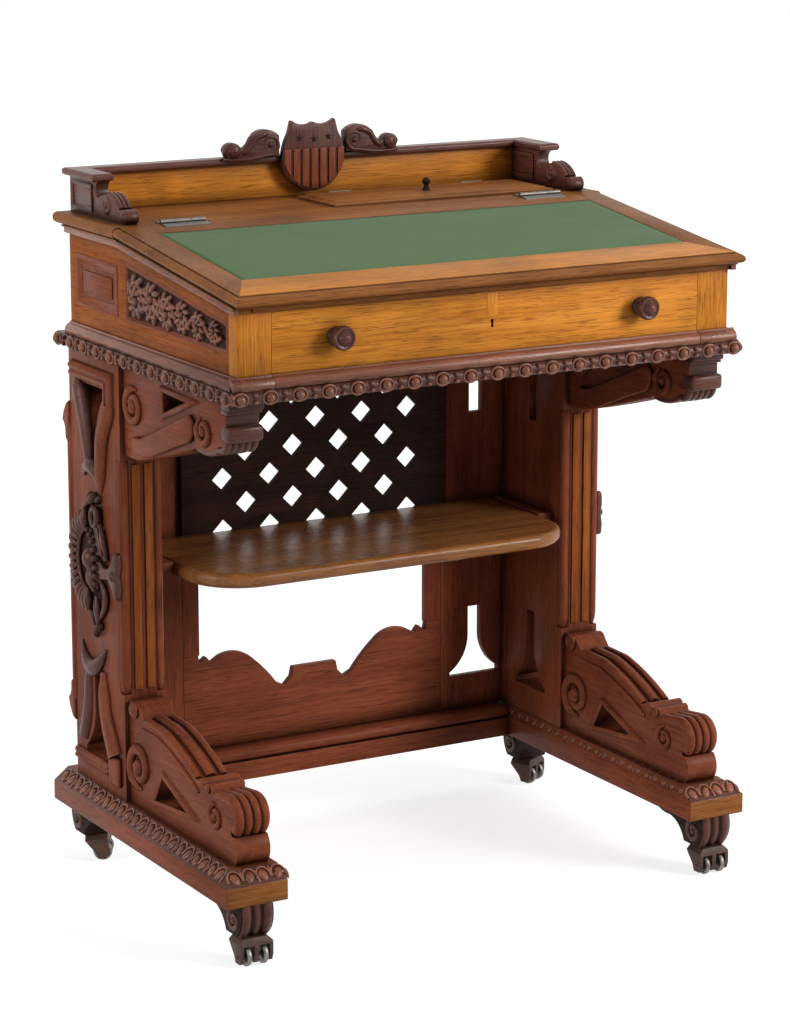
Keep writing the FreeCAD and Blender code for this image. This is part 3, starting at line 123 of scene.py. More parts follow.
class DeskFinishes(bpy.types.PropertyGroup):
    """Colours of the desk's woods, cloth and metals."""
    __annotations__ = all_tones()


class DeskSizes(bpy.types.PropertyGroup):
    """Sizes of the desk's repeated ornament."""
    bead_pitch: length("Bead pitch", 0.038, "Boss to boss along the carved frame")
    leaf_pitch: length("Leaf pitch", 0.041, "Leaf to leaf along the runner moulding")
    screw_width: length("Screw heads", 0.0052, "Head of a hinge screw")


# Finishes
def wire(tree, kind, inputs=None, **settings):
    """Add a node, set its options, and link or set its inputs."""
    node = tree.nodes.new(kind)
    for key, value in settings.items():
        setattr(node, key, value)
    for key, value in (inputs or {}).items():
        if isinstance(value, bpy.types.NodeSocket):
            tree.links.new(value, node.inputs[key])
        else:
            node.inputs[key].default_value = value
    return node


def maths(tree, operation, first, second, clamp=False):
    return wire(tree, "ShaderNodeMath", {0: first, 1: second},
                operation=operation, use_clamp=clamp).outputs[0]


def blank_material(name):
    """Material without nodes, its tree, and its place in the object's own axes."""
    material = bpy.data.materials.new(name)
    material.use_nodes = True
    tree = material.node_tree
    tree.nodes.clear()
    return material, tree, wire(tree, "ShaderNodeTexCoord").outputs["Object"]


def coated(material, tree, height, strength, depth, inputs):
    """Close a material with a principled shader over a bump."""
    bump = wire(tree, "ShaderNodeBump", {
        "Height": height, "Strength": strength, "Distance": depth}).outputs[0]
    shader = wire(tree, "ShaderNodeBsdfPrincipled", {"Normal": bump, **inputs})
    wire(tree, "ShaderNodeOutputMaterial", {"Surface": shader.outputs[0]})
    return material


def mixed(tree, factor, first, second, kind="MIX"):
    """Mix two colours, each a socket or a plain colour."""
    node = tree.nodes.new("ShaderNodeMix")
    node.data_type = "RGBA"
    node.blend_type = kind
    for number, value in ((0, factor), (6, first), (7, second)):
        if isinstance(value, bpy.types.NodeSocket):
            tree.links.new(value, node.inputs[number])
        else:
            node.inputs[number].default_value = value if number == 0 else (*value, 1)
    return node.outputs[2]


def ranged(tree, value, low, high, to_low=0, to_high=1):
    node = wire(tree, "ShaderNodeMapRange", {
        "Value": value, "From Min": low, "From Max": high, "To Min": to_low, "To Max": to_high})
    return node.outputs[0]


def noise(tree, place, scale, detail=3, twist=0, rough=0.55):
    """Noise stretched by a scale along each axis."""
    spot = wire(tree, "ShaderNodeMapping", {"Vector": place, "Scale": scale}).outputs[0]
    return wire(tree, "ShaderNodeTexNoise", {
        "Vector": spot, "Scale": 1, "Detail": detail, "Distortion": twist,
        "Roughness": rough}).outputs["Fac"]


def along(grain, lengthwise, across):
    return tuple(lengthwise if axis == grain else across for axis in "XYZ")


def oak(name, light, dark, grain="X", polish=0.42, wax_and_shade=0.55, rub_and_highlight=0.25, gloss=0.1):
    """Waxed oak with streaks and open pores along one axis, darkened in its recesses by ambient occlusion
    (dark wax, and painted shade), lightened on its arrises (rubbed, and a painted highlight).
    """
    material, tree, place = blank_material(name)
    figure = noise(tree, place, along(grain, 2.6, 52), 3, 0.6)
    fibre = noise(tree, place, along(grain, 10, 520), 5, 0.25, 0.65)
    pore = noise(tree, place, along(grain, 38, 1000), 2, 0.2)
    cloud = noise(tree, place, (7, 7, 7), 5, 0.5)
    pale, deep = tuple(light), tuple(dark)
    wood = mixed(tree, ranged(tree, maths(tree, "ADD", figure, fibre), 0.70, 1.22), deep, pale)
    open_pore = ranged(tree, pore, 0.35, 0.45, 0.3, 1)
    wood = mixed(tree, open_pore, tuple(c * 0.42 for c in deep), wood)
    stain = ranged(tree, cloud, 0.34, 0.60, 0.58, 1)
    grey = wire(tree, "ShaderNodeCombineColor", {"Red": stain, "Green": stain, "Blue": stain}).outputs[0]
    wood = mixed(tree, 0.8, wood, grey, "MULTIPLY")
    # The bevel node finds the arrises, which are lightened towards a pale tone: rubbed, worn wood, and a
    # painted highlight in place of gloss
    rounded = wire(tree, "ShaderNodeBevel", {"Radius": 0.0016}, samples=4).outputs[0]
    true = wire(tree, "ShaderNodeNewGeometry").outputs["Normal"]
    level = wire(tree, "ShaderNodeVectorMath", {0: rounded, 1: true},
                 operation="DOT_PRODUCT").outputs["Value"]
    edge = ranged(tree, level, 0.99, 0.86, 0, rub_and_highlight)
    wood = mixed(tree, edge, wood, tuple(min(1, c * 1.6 + 0.02) for c in pale))
    # Ambient occlusion darkens the wood nearly to black in recesses, under overhangs and between parts:
    # dark wax in the carving, and painted shade
    shade = wire(tree, "ShaderNodeAmbientOcclusion", {"Distance": 0.02}, samples=6).outputs["AO"]
    wax_and_shade_mask = ranged(tree, shade, 0.42, 0.97, wax_and_shade, 0)
    wood = mixed(tree, wax_and_shade_mask, wood, tuple(c * 0.1 for c in deep))
    rough = ranged(tree, fibre, 0.25, 0.75, polish - 0.10, polish + 0.14)
    return coated(material, tree, maths(tree, "ADD", open_pore, fibre), 0.22, 0.0005, {
        "Base Color": wood, "Roughness": rough, "Specular IOR Level": gloss})


def cloth(name, nap, worn):
    """Felted baize: short fibres, faint mottling and a soft sheen."""
    material, tree, place = blank_material(name)
    fibre = noise(tree, place, (1500, 1300, 1500), 4, 1.2)
    patch = noise(tree, place, (16, 22, 16), 5, 0.6)
    felt = mixed(tree, ranged(tree, maths(tree, "ADD", fibre, patch), 0.72, 1.3), tuple(nap), tuple(worn))
    rough = ranged(tree, patch, 0.3, 0.7, 0.86, 0.98)
    return coated(material, tree, fibre, 0.5, 0.0006, {
        "Base Color": felt, "Roughness": rough, "Specular IOR Level": 0.1, "Sheen Weight": 0.06,
        "Sheen Roughness": 0.5})


def metal(name, clean, dirty, shine, dirt, metallic=1):
    """Old metal: bright where it rubs, browned elsewhere."""
    material, tree, place = blank_material(name)
    bloom = noise(tree, place, (130, 130, 130), 6, 0.7)
    scratch = noise(tree, place, (90, 900, 900), 3)
    edge = ranged(tree, wire(tree, "ShaderNodeNewGeometry").outputs["Pointiness"], 0.5, 0.57, 0, 0.5)
    soiled = maths(tree, "SUBTRACT", ranged(tree, bloom, 0.35, 0.68, dirt, 0), edge, True)
    skin = mixed(tree, soiled, tuple(clean), tuple(dirty))
    rough = ranged(tree, scratch, 0.3, 0.7, shine, shine + 0.25)
    return coated(material, tree, bloom, 0.3, 0.0004, {
        "Base Color": skin, "Roughness": rough, "Metallic": metallic})


class Finishes:
    """Materials by name, each made once from the colours in the panel."""
    made = {}
    # Each wood: tone family, polish, strength of the dark wax and painted shade in recesses, strength of
    # the rubbing and painted highlight on arrises, and gloss
    woods = {
        "golden_oak": ("golden", 0.40, 0.75, 0.2, 0.10), "amber_oak": ("amber", 0.42, 0.8, 0.3, 0.03),
        "brown_oak": ("brown", 0.36, 0.8, 0.35, 0.05), "red_oak": ("red", 0.34, 0.85, 0.5, 0.06),
        "polished_oak": ("brown", 0.22, 0.7, 0.4, 0.22), "umber_oak": ("umber", 0.26, 0.95, 0.5, 0.28),
        "dark_oak": ("dark", 0.28, 0.9, 0.7, 0.18), "black_oak": ("black", 0.46, 0.5, 0.3, 0.05),
        "inner_pine": ("pine", 0.62, 0.3, 0.1, 0.05),
    }

    @classmethod
    def get(cls, finish, grain="X"):
        key = "%s_%s" % (finish, grain)
        if key not in cls.made:
            cls.made[key] = cls.make(key, finish, grain)
        return cls.made[key]

    @classmethod
    def make(cls, key, finish, grain):
        tones = bpy.context.scene.desk_finishes
        if finish in cls.woods:
            family, polish, wax_and_shade, rub_and_highlight, gloss = cls.woods[finish]
            light, dark = getattr(tones, family + "_light"), getattr(tones, family + "_dark")
            return oak(key, light, dark, grain, polish, wax_and_shade, rub_and_highlight, gloss)
        if finish == "green_baize":
            return cloth(key, tones.baize, tones.baize_worn)
        if finish == "caster_iron":
            return metal(key, tones.iron, tones.rust, 0.46, 0.95, 0.3)
        if finish == "wheel_steel":
            return metal(key, tones.steel, tones.iron, 0.3, 0.95)
        if finish == "hinge_steel":
            return metal(key, tuple(c * 0.7 for c in tones.steel), tones.rust, 0.36, 0.8)
        raise ValueError("no finish for " + finish)


# Shapes
def poured(bm, name):
    """Mesh of a finished bmesh, which is freed."""
    mesh = bpy.data.meshes.new(name)
    bm.to_mesh(mesh)
    bm.free()
    return mesh


def linked(name, data):
    thing = bpy.data.objects.new(name, data)
    bpy.context.scene.collection.objects.link(thing)
    return thing


def soften(bm, edges, size, steps, profile=0.5):
    """Round edges, or slant them in one step, by a size in millimetres."""
    bmesh.ops.bevel(bm, geom=edges, offset=size * MM, offset_type="OFFSET", segments=steps, profile=profile,
                    affect="EDGES", clamp_overlap=True)


class Carving:
    """One mesh under the chisel."""

    def __init__(self):
        self.bm = bmesh.new()

    def walls(self, pairs):
        for one, two in pairs:
            count = len(one)
            for k in range(count):
                self.bm.faces.new((one[k], one[(k + 1) % count], two[(k + 1) % count], two[k]))

    def skin(self, rings, closed):
        """Quads between rings of vertices, with flat ends on an open run."""
        self.walls(zip(rings, rings[1:] + rings[:1] if closed else rings[1:]))
        if not closed:
            self.bm.faces.new(list(reversed(rings[0])))
            self.bm.faces.new(rings[-1])

    def tube(self, points, radius, normal, flat=1, sides=10, closed=False):
        """Bar of round or flattened section along points; the section stands along normal."""
        points = [Vector(p) for p in points]
        radii = radius if isinstance(radius, (list, tuple)) else [radius] * len(points)
        rings = []
        for k, point in enumerate(points):
            before = points[k - 1] if k or closed else point
            after = points[(k + 1) % len(points)] if k + 1 < len(points) or closed else point
            run = (after - before).normalized()
            side = run.cross(normal).normalized()
            lift = side.cross(run).normalized()
            ring = []
            for s in range(sides):
                turn = 2 * math.pi * s / sides
                offset = side * math.cos(turn) + lift * (math.sin(turn) * flat)
                ring.append(self.bm.verts.new(point + offset * (radii[k] * MM)))
            rings.append(ring)
        self.skin(rings, closed)

    def band(self, knots, normal, plane, flat=0.5, sides=12, steps=5):
        """Smooth swelling bar through knots of (depth, level, half width) on a side face."""
        count = len(knots)
        path, radii = [], []
        for k in range(count - 1):
            p0, p1, p2, p3 = (knots[min(max(k + d, 0), count - 1)] for d in (-1, 0, 1, 2))
            for s in range(steps + (k == count - 2)):
                t = s / steps
                values = [0.5 * (2 * b + (c - a) * t + (2 * a - 5 * b + 4 * c - d) * t * t
                                 + (3 * b - a - 3 * c + d) * t ** 3) for a, b, c, d in zip(p0, p1, p2, p3)]
                path.append(at(plane, values[0], values[1]))
                radii.append(max(0.3, values[2]))
        self.tube(path, radii, normal, flat, sides)

    def moulding(self, path, profile, place, closed=False):
        """Profile of (out, up) run along a flat path with mitred corners; out is right of the run."""
        count = len(path)
        rings = []
        for k, (x, y) in enumerate(path):
            turns = []
            for a, b in ((k - 1, k), (k, k + 1)):
                if closed or 0 <= a and b < count:
                    start, end = path[a], path[b % count]
                    run = Vector((end[0] - start[0], end[1] - start[1])).normalized()
                    turns.append(Vector((run.y, -run.x)))
            out = turns[0] if len(turns) == 1 else (turns[0] + turns[1]) / (1 + turns[0].dot(turns[1]))
            rings.append([self.bm.verts.new(place(x + out.x * o, y + out.y * o, u)) for o, u in profile])
        self.skin(rings, closed)

    def dome(self, centre, normal, along_axis, wide, tall, high, rings=4, sides=14):
        """Half egg that stands on a face: wide along the axis, tall across it, high out of the face."""
        normal = Vector(normal).normalized()
        first = Vector(along_axis).normalized()
        second = normal.cross(first)
        loops = []
        for r in range(rings):
            lean = 0.5 * math.pi * r / rings
            loop = []
            for s in range(sides):
                turn = 2 * math.pi * s / sides
                flat = first * (wide * math.cos(turn)) + second * (tall * math.sin(turn))
                loop.append(self.bm.verts.new(
                    centre + (flat * math.cos(lean) + normal * (high * math.sin(lean))) * MM))
            loops.append(loop)
        top = self.bm.verts.new(centre + normal * (high * MM))
        self.walls(zip(loops, loops[1:]))
        for k in range(sides):
            self.bm.faces.new((loops[-1][k], loops[-1][(k + 1) % sides], top))
        self.bm.faces.new(list(reversed(loops[0])))

    def turned(self, profile, origin, axis, sides=28):
        """Lathe work: profile of (radius, height) along an axis."""
        axis = Vector(axis).normalized()
        first = axis.orthogonal().normalized()
        second = axis.cross(first)
        loops = []
        for radius, height in profile:
            base = origin + axis * (height * MM)
            if radius < 1e-6:
                loops.append([self.bm.verts.new(base)])
                continue
            loops.append([
                self.bm.verts.new(base + (first * math.cos(t) + second * math.sin(t)) * (radius * MM))
                for t in (2 * math.pi * s / sides for s in range(sides))])
        for one, two in zip(loops, loops[1:]):
            for k in range(sides):
                a, b = one[k % len(one)], one[(k + 1) % len(one)]
                c, d = two[(k + 1) % len(two)], two[k % len(two)]
                corners = [v for n, v in enumerate((a, b, c, d)) if v not in (a, b, c, d)[:n]]
                if len(corners) > 2:
                    self.bm.faces.new(corners)

    def slab(self, outline, depth, soft=0, steps=2):
        """Board of a flat outline, given as points, with a thickness vector and soft arrises."""
        first = [self.bm.verts.new(p) for p in outline]
        second = [self.bm.verts.new(p + depth) for p in outline]
        faces = [self.bm.faces.new(first), self.bm.faces.new(list(reversed(second)))]
        count = len(outline)
        for k in range(count):
            faces.append(self.bm.faces.new(
                (first[(k + 1) % count], first[k], second[k], second[(k + 1) % count])))
        if soft:
            bmesh.ops.recalc_face_normals(self.bm, faces=faces)
            edges = dict.fromkeys(e for face in faces for e in face.edges)
            corner = math.radians(25)
            soften(self.bm, [e for e in edges if e.calc_face_angle(0) > corner], soft, steps)

    def block(self, low, high, soft=0.6):
        """Board between two corners."""
        outline = [at(low[0], low[1], low[2]), at(high[0], low[1], low[2]),
                   at(high[0], high[1], low[2]), at(low[0], high[1], low[2])]
        self.slab(outline, UP * ((high[2] - low[2]) * MM), soft)

    def node(self, name, soft, cut=0, cut_edge=None):
        """Copy of a node's mesh with its arrises rounded, and chosen edges first cut to a slant."""
        work = bmesh.new()
        work.from_mesh(frame["nodes"][name].data)
        bmesh.ops.remove_doubles(work, verts=work.verts, dist=2e-6)
        bmesh.ops.dissolve_limit(work, angle_limit=math.radians(0.8), verts=work.verts, edges=work.edges)
        if cut:
            soften(work, [e for e in work.edges if cut_edge(e)], cut, 1)
        edges = [e for e in work.edges if e.is_manifold and e.calc_face_angle(0) > math.radians(30)]
        soften(work, edges, soft, 2, 0.6)
        mesh = poured(work, "copy")
        self.bm.from_mesh(mesh)
        bpy.data.meshes.remove(mesh)

    def mirror(self):
        """Repeat everything on the other side of the desk."""
        copy = bmesh.ops.duplicate(self.bm, geom=self.bm.verts[:] + self.bm.edges[:] + self.bm.faces[:])
        for item in copy["geom"]:
            if isinstance(item, bmesh.types.BMVert):
                item.co.x = -item.co.x

    def piece(self, name, body, slot, grain="X", stands_for=(), sharp=38, finish=None):
        """Turn the carving into a finished object on its body, its faces all outward."""
        self.bm.normal_update()
        bmesh.ops.recalc_face_normals(self.bm, faces=self.bm.faces)
        return settle(name, poured(self.bm, name), body, slot, grain, stands_for, sharp, finish)

    def pair(self, *place, **looks):
        """The same with a copy on the other side of the desk."""
        self.mirror()
        return self.piece(*place, **looks)


def settle(name, mesh, body, slot, grain="X", stands_for=(), sharp=38, finish=None):
    """Link a mesh as a piece that rides on a body and takes a finish."""
    mesh.shade_smooth()
    mesh.set_sharp_from_angle(angle=math.radians(sharp))
    thing = linked(name, mesh)
    mesh.materials.clear()
    mesh.materials.append(Finishes.get(finish or slot, grain))
    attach(thing, body)
    if stands_for:
        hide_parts(*stands_for)
    return thing


def bend(first, through, last, steps=10):
    """Points of the arc from first through a point to last, in a flat drawing."""
    (ax, ay), (bx, by), (cx, cy) = first, through, last
    d = 2 * (ax * (by - cy) + bx * (cy - ay) + cx * (ay - by))
    a2, b2, c2 = ax * ax + ay * ay, bx * bx + by * by, cx * cx + cy * cy
    ox = (a2 * (by - cy) + b2 * (cy - ay) + c2 * (ay - by)) / d
    oy = (a2 * (cx - bx) + b2 * (ax - cx) + c2 * (bx - ax)) / d
    radius = math.hypot(ax - ox, ay - oy)
    start, mid, end = (math.atan2(p[1] - oy, p[0] - ox) for p in (first, through, last))
    sweep = (end - start) % (2 * math.pi)
    if (mid - start) % (2 * math.pi) > sweep:
        sweep -= 2 * math.pi
    turns = [start + sweep * k / steps for k in range(steps + 1)]
    return [(ox + radius * math.cos(turn), oy + radius * math.sin(turn)) for turn in turns]


def spiral(centre, outer, inner, turns, start, sense=1, steps=44):
    """Points of a scroll that winds in to its eye, in a flat drawing."""
    points = []
    for k in range(steps + 1):
        part = k / steps
        radius = outer + (inner - outer) * part
        angle = math.radians(start) + sense * turns * 2 * math.pi * part
        points.append((centre[0] + radius * math.cos(angle), centre[1] + radius * math.sin(angle)))
    return points


def on_side(x, points):
    """Flat (depth, level) points put on an upright plane that faces sideways."""
    return [at(x, y, z) for y, z in points]


def raised(x, out):
    """Placing of a moulding that stands out of a side face."""
    return lambda y, z, u: at(x + out.x * u, y, z)


def on_front(y, points):
    """Flat (across, level) points put on an upright plane that faces the front."""
    return [at(x, y, z) for x, z in points]


def leftward(points):
    """The same closed drawing, run so that it turns to the left."""
    area = sum(a[0] * b[1] - b[0] * a[1] for a, b in zip(points, points[1:] + points[:1]))
    return points if area > 0 else points[::-1]


def scroll(carving, x, centre, outer, inner, turns, start, sense, thick, out=OUT, flat=0.8):
    """Raised scroll with a button eye on a side face."""
    path = spiral(centre, outer, inner, turns, start, sense)
    count = len(path)
    radii = [thick * (1 - 0.4 * k / (count - 1)) * min(1, 0.25 + 0.15 * k) for k in range(count)]
    carving.tube(on_side(x, path), radii, out, flat, 10)
    carving.dome(at(x, *centre), out, UP, inner * 0.95, inner * 0.95, thick * flat * 1.1, 4, 14)


# Boards that keep the form of their solids, with softened arrises: slot, grain, softening in millimetres,
# and a finish where it isn't that of the slot; a star stands for the left and the right one
BOARDS = {
    "base_runner_*": ("red_oak", "Y", 1.4), "base_back_rail": ("red_oak", "X", 1),
    "side_standard_*": ("red_oak", "Z", 1.6), "foot_console_*": ("red_oak", "Y", 2.4),
    "top_bracket_*": ("dark_oak", "Y", 2, "red_oak"), "back_wings": ("red_oak", "Z", 0.8),
    "lattice_panel": ("black_oak", "X", 0.8), "back_stiles": ("red_oak", "Z", 0.8),
    "apron_panel": ("red_oak", "X", 1.2), "shelf_cleats": ("red_oak", "Y", 1),
    # The case sides take the darker copy of the golden oak: painted shade
    "case_side_*": ("golden_oak", "Y", 0.8, "amber_oak"), "front_posts": ("golden_oak", "Z", 0.4),
    "plain_panels": ("golden_oak", "Z", 1.2, "red_oak"),
    "carved_panels": ("golden_oak", "Y", 0.5, "black_oak"),
    "case_back": ("inner_pine", "X", 0.6), "case_mouldings": ("dark_oak", "Y", 0.4, "umber_oak"),
    "drawer_moulding": ("dark_oak", "X", 0.4, "umber_oak"),
    "front_rail": ("golden_oak", "X", 0.5, "brown_oak"),
    "gallery_board": ("golden_oak", "X", 0.8), "gallery_ends": ("dark_oak", "Y", 1.4),
    "foot_blocks": ("red_oak", "Y", 2, "black_oak"), "drawer_front": ("golden_oak", "X", 0.5),
}

# Nodes whose own mesh stays in view
KEPT_NODES = {
    ("polished_oak", "X"): "shelf",
    ("brown_oak", "X"): "ledge",
    ("black_oak", "Z"): "pen_lid_knob",
    ("dark_oak", "X"): "gallery_cap carved_frame",
    ("inner_pine", "Y"): "drawer_guides drawer_sides",
    ("inner_pine", "X"): "case_floor well_floor well_back_rail pen_tray drawer_back drawer_bottom",
    ("hinge_steel", "X"): "drawer_lock lock_bolt ledge_hinge_leaves slope_hinge_leaves pen_hinge_leaves",
}


def body_of(node):
    for body, members in frame["record"]["behaviour"]["bodies"].items():
        if node in members:
            return body
    raise ValueError("no body holds " + node)


# Slanted inner edge of the runners
RUNNER_CUT = 11


def inner_top(edge):
    """Whether an edge is the inner top arris of a runner."""
    low, high = limits("base_runner_right")
    return all(abs(v.co.x) < (low[0] + 0.2) * MM and v.co.z > (high[2] - 0.2) * MM for v in edge.verts)


class DESK_OT_boards(bpy.types.Operator):
    """Give the boards softened arrises and their woods"""
    bl_idname = "desk.boards"
    bl_label = "Boards"

    def execute(self, context):
        for entry, row in BOARDS.items():
            sides = ("left", "right") if "*" in entry else ("",)
            for side in sides:
                self.board(entry.replace("*", side), *row)
        for (finish, grain), nodes in KEPT_NODES.items():
            coat = Finishes.get(finish, grain)
            for thing in [frame["nodes"][node] for node in nodes.split()]:
                for item in thing.material_slots:
                    item.material = coat
                if not thing.material_slots:
                    thing.data.materials.append(coat)
        return {"FINISHED"}

    def board(self, node, slot, grain, soft, finish=None):
        runner = node.startswith("base_runner")
        carving = Carving()
        carving.node(node, soft, *((RUNNER_CUT, inner_top) if runner else ()))
        thing = carving.piece(node + "_wood", body_of(node), slot, grain, (node,), finish=finish)
        if runner:
            self.recolour(thing.data, "brown_oak", lambda n: n.y < -0.9)
            self.recolour(thing.data, "dark_oak", lambda n: 0.4 < n.z < 0.9)
        elif node.startswith("top_bracket"):
            self.recolour(thing.data, "dark_oak", lambda n: n.y < -0.8)

    @staticmethod
    def recolour(mesh, finish, chosen):
        """Another finish on the faces whose normal is chosen."""
        mesh.materials.append(Finishes.get(finish, "X"))
        for face in mesh.polygons:
            if chosen(face.normal):
                face.material_index = len(mesh.materials) - 1


# The writing slope: level of its front edge, level and place of its hinge line, fall and thickness
WRITING_LEVEL, HINGE_LEVEL, HINGE_LINE = 767, 806, 290
SLOPE_FALL, SLOPE_THICK = 39 / 311, 14


class DESK_OT_slope(bpy.types.Operator):
    """Build the framed writing slope from its rails, stiles, bed and moulded edge"""
    bl_idname = "desk.slope"
    bl_label = "Writing slope"

    def execute(self, context):
        low, high = limits("writing_slope")
        cloth_low, cloth_high = limits("baize")
        half, front, back, top_back = high[0], low[1], high[1], high[2]
        thick, edge = SLOPE_THICK, 10
        inner = cloth_high[0] + 0.4
        bed_front, bed_back = cloth_low[1] - 0.4, cloth_high[1] + 0.4
        fall = (top_back - WRITING_LEVEL) / (back - front)
        wide, near = half - edge, front + edge

        def top(y):
            return top_back - fall * (back - y)

        def plank(carving, plan, drop=0, soft=0.25):
            carving.slab([at(x, y, top(y) - drop) for x, y in plan], UP * ((drop - thick) * MM), soft)

        stiles = Carving()
        for side in (-1, 1):
            plank(stiles, [(side * wide, near), (side * inner, bed_front), (side * inner, back),
                           (side * wide, back)])
        stiles.piece("slope_stiles", "writing_slope", "golden_oak", "Y", ("writing_slope",),
                     finish="brown_oak")
        rail = Carving()
        plank(rail, [(-wide, near), (wide, near), (inner, bed_front), (-inner, bed_front)])
        rail.piece("slope_front_rail", "writing_slope", "golden_oak", "X")
        rail = Carving()
        plank(rail, [(-inner, bed_back), (inner, bed_back), (inner, back), (-inner, back)])
        rail.piece("slope_back_rail", "writing_slope", "golden_oak", "X", finish="brown_oak")
        bed = Carving()
        plank(bed, [(-inner, bed_front), (inner, bed_front), (inner, bed_back), (-inner, bed_back)], 1.6, 0)
        bed.piece("slope_bed", "writing_slope", "inner_pine", "X")
        nose = Carving()
        profile = [(-0.5, -0.2), (0.9, -0.2), (0.9, -1.9), (3.2, -1.6), (6.2, -2.1), (8.8, -3.9),
                   (10, -6.5), (9.4, -9.2), (7.6, -11.3), (5, -12.5), (2.5, -13), (-0.5, -13.8)]
        nose.moulding([(-wide, back), (-wide, near), (wide, near), (wide, back)], profile,
                      lambda x, y, u: at(x, y, top(y) + u))
        nose.piece("slope_edge", "writing_slope", "golden_oak", "X", sharp=30, finish="brown_oak")
        under = Carving()
        profile = [(-11, 0), (8.4, 0), (8.4, -1.8), (6.6, -2.2), (4, -4), (2.4, -6.6), (1.9, -9),
                   (-11, -9)]
        case, case_back, ledge_under = 326, 440, 791.7
        under.moulding([(-case, back - 6), (-case, 0), (case, 0), (case, back - 6)], profile,
                       lambda x, y, u: at(x, y, top(y) - thick - 0.7 + u))
        for run in ([(-case, case_back), (-case, back - 4)], [(case, back - 4), (case, case_back)]):
            under.moulding(run, profile, lambda x, y, u: at(x, y, ledge_under + u))
        under.piece("slope_under_moulding", "desk", "golden_oak", "X", sharp=30, finish="brown_oak")
        return {"FINISHED"}


CLOTH_THICK = 1.2


class DESK_OT_baize(bpy.types.Operator):
    """Lay the green cloth in its bed"""
    bl_idname = "desk.baize"
    bl_label = "Baize"

    def execute(self, context):
        low, high = limits("baize")
        rise = high[2] - low[2] - CLOTH_THICK
        fall = rise / (high[1] - low[1])
        across, deep = 60, 24
        bm = bmesh.new()
        rows = []
        for row in range(deep + 1):
            y = low[1] + (high[1] - low[1]) * row / deep
            line = []
            for column in range(across + 1):
                x = low[0] + (high[0] - low[0]) * column / across
                wave = 0.10 * math.sin(x * 0.021 + y * 0.013) * math.sin(y * 0.031)
                line.append(bm.verts.new(at(x, y, high[2] - fall * (high[1] - y) - 0.15 + wave)))
            rows.append(line)
        for one, two in zip(rows, rows[1:]):
            for k in range(across):
                bm.faces.new((one[k], one[k + 1], two[k + 1], two[k]))
        bmesh.ops.recalc_face_normals(bm, faces=bm.faces)
        if bm.faces[0].normal.z < 0:
            bmesh.ops.reverse_faces(bm, faces=bm.faces)
        thing = settle("baize_cloth", poured(bm, "baize_cloth"), "writing_slope", "green_baize", "X",
                       ("baize",))
        shell = thing.modifiers.new("nap", "SOLIDIFY")
        shell.thickness = 0.9 * MM
        shell.offset = -1
        return {"FINISHED"}


# Repeated ornament by Geometry Nodes
def grown(name, tree, values, points, body, slot, grain, finish=None):
    """Grow ornament on points by a node tree, and settle it as a plain mesh."""
    mesh = bpy.data.meshes.new(name + "_points")
    mesh.from_pydata([tuple(p) for p, _ in points], [], [])
    layer = mesh.attributes.new("facing", "FLOAT_VECTOR", "POINT")
    for k, (_, facing) in enumerate(points):
        layer.data[k].vector = facing
    seed = linked(name + "_points", mesh)
    modifier = seed.modifiers.new("ornament", "NODES")
    modifier.node_group = tree
    for item in tree.interface.items_tree:
        if item.item_type == "SOCKET" and item.in_out == "INPUT" and item.name in values:
            modifier[item.identifier] = values[item.name]
    graph = bpy.context.evaluated_depsgraph_get()
    result = bpy.data.meshes.new_from_object(seed.evaluated_get(graph))
    seed.modifiers.clear()
    bpy.data.objects.remove(seed)
    result.name = name
    return settle(name, result, body, slot, grain, (), 60, finish)


def ornament_tree(name, sizes):
    """Empty tree with named sizes and a material, and its in and out nodes."""
    tree = bpy.data.node_groups.new(name, "GeometryNodeTree")

    def socket(name, kind, side="INPUT"):
        return tree.interface.new_socket(name=name, in_out=side, socket_type="NodeSocket" + kind)

    socket("Geometry", "Geometry")
    for label, default in sizes.items():
        socket(label, "Float").default_value = default
    socket("Finish", "Material")
    socket("Geometry", "Geometry", "OUTPUT")
    return tree, wire(tree, "NodeGroupInput")


def times(tree, value, factor):
    return maths(tree, "MULTIPLY", value, factor)


def scaled(tree, geometry, *axes):
    """Geometry stretched along each axis by a socket times a factor; an axis left out stays as it is."""
    scale = wire(tree, "ShaderNodeCombineXYZ", {0: 1, 1: 1, 2: 1})
    for number, (value, factor) in enumerate(axes):
        tree.links.new(times(tree, value, factor), scale.inputs[number])
    return wire(tree, "GeometryNodeTransform", {"Geometry": geometry, "Scale": scale.outputs[0]}).outputs[0]


def egg(tree, rings, sides, *axes):
    """Ellipsoid whose half axes are sockets times factors."""
    ball = wire(tree, "GeometryNodeMeshUVSphere", {"Segments": sides, "Rings": rings, "Radius": 1})
    return scaled(tree, ball.outputs[0], *axes)


def piping(tree, curve, sides, radius, capped):
    """Round bar along a curve."""
    section = wire(tree, "GeometryNodeCurvePrimitiveCircle", {"Resolution": sides, "Radius": radius})
    return wire(tree, "GeometryNodeCurveToMesh", {
        "Curve": curve, "Profile Curve": section.outputs[0], "Fill Caps": capped}).outputs[0]


def shifted(tree, geometry, x=None, y=None, turn=0):
    inputs = {number: value for number, value in enumerate((x, y)) if value is not None}
    place = wire(tree, "ShaderNodeCombineXYZ", inputs).outputs[0]
    return wire(tree, "GeometryNodeTransform", {
        "Geometry": geometry, "Translation": place, "Rotation": (0, 0, math.radians(turn))}).outputs[0]


def joined(tree, parts):
    node = tree.nodes.new("GeometryNodeJoinGeometry")
    for part in parts:
        tree.links.new(part, node.inputs[0])
    return node.outputs[0]


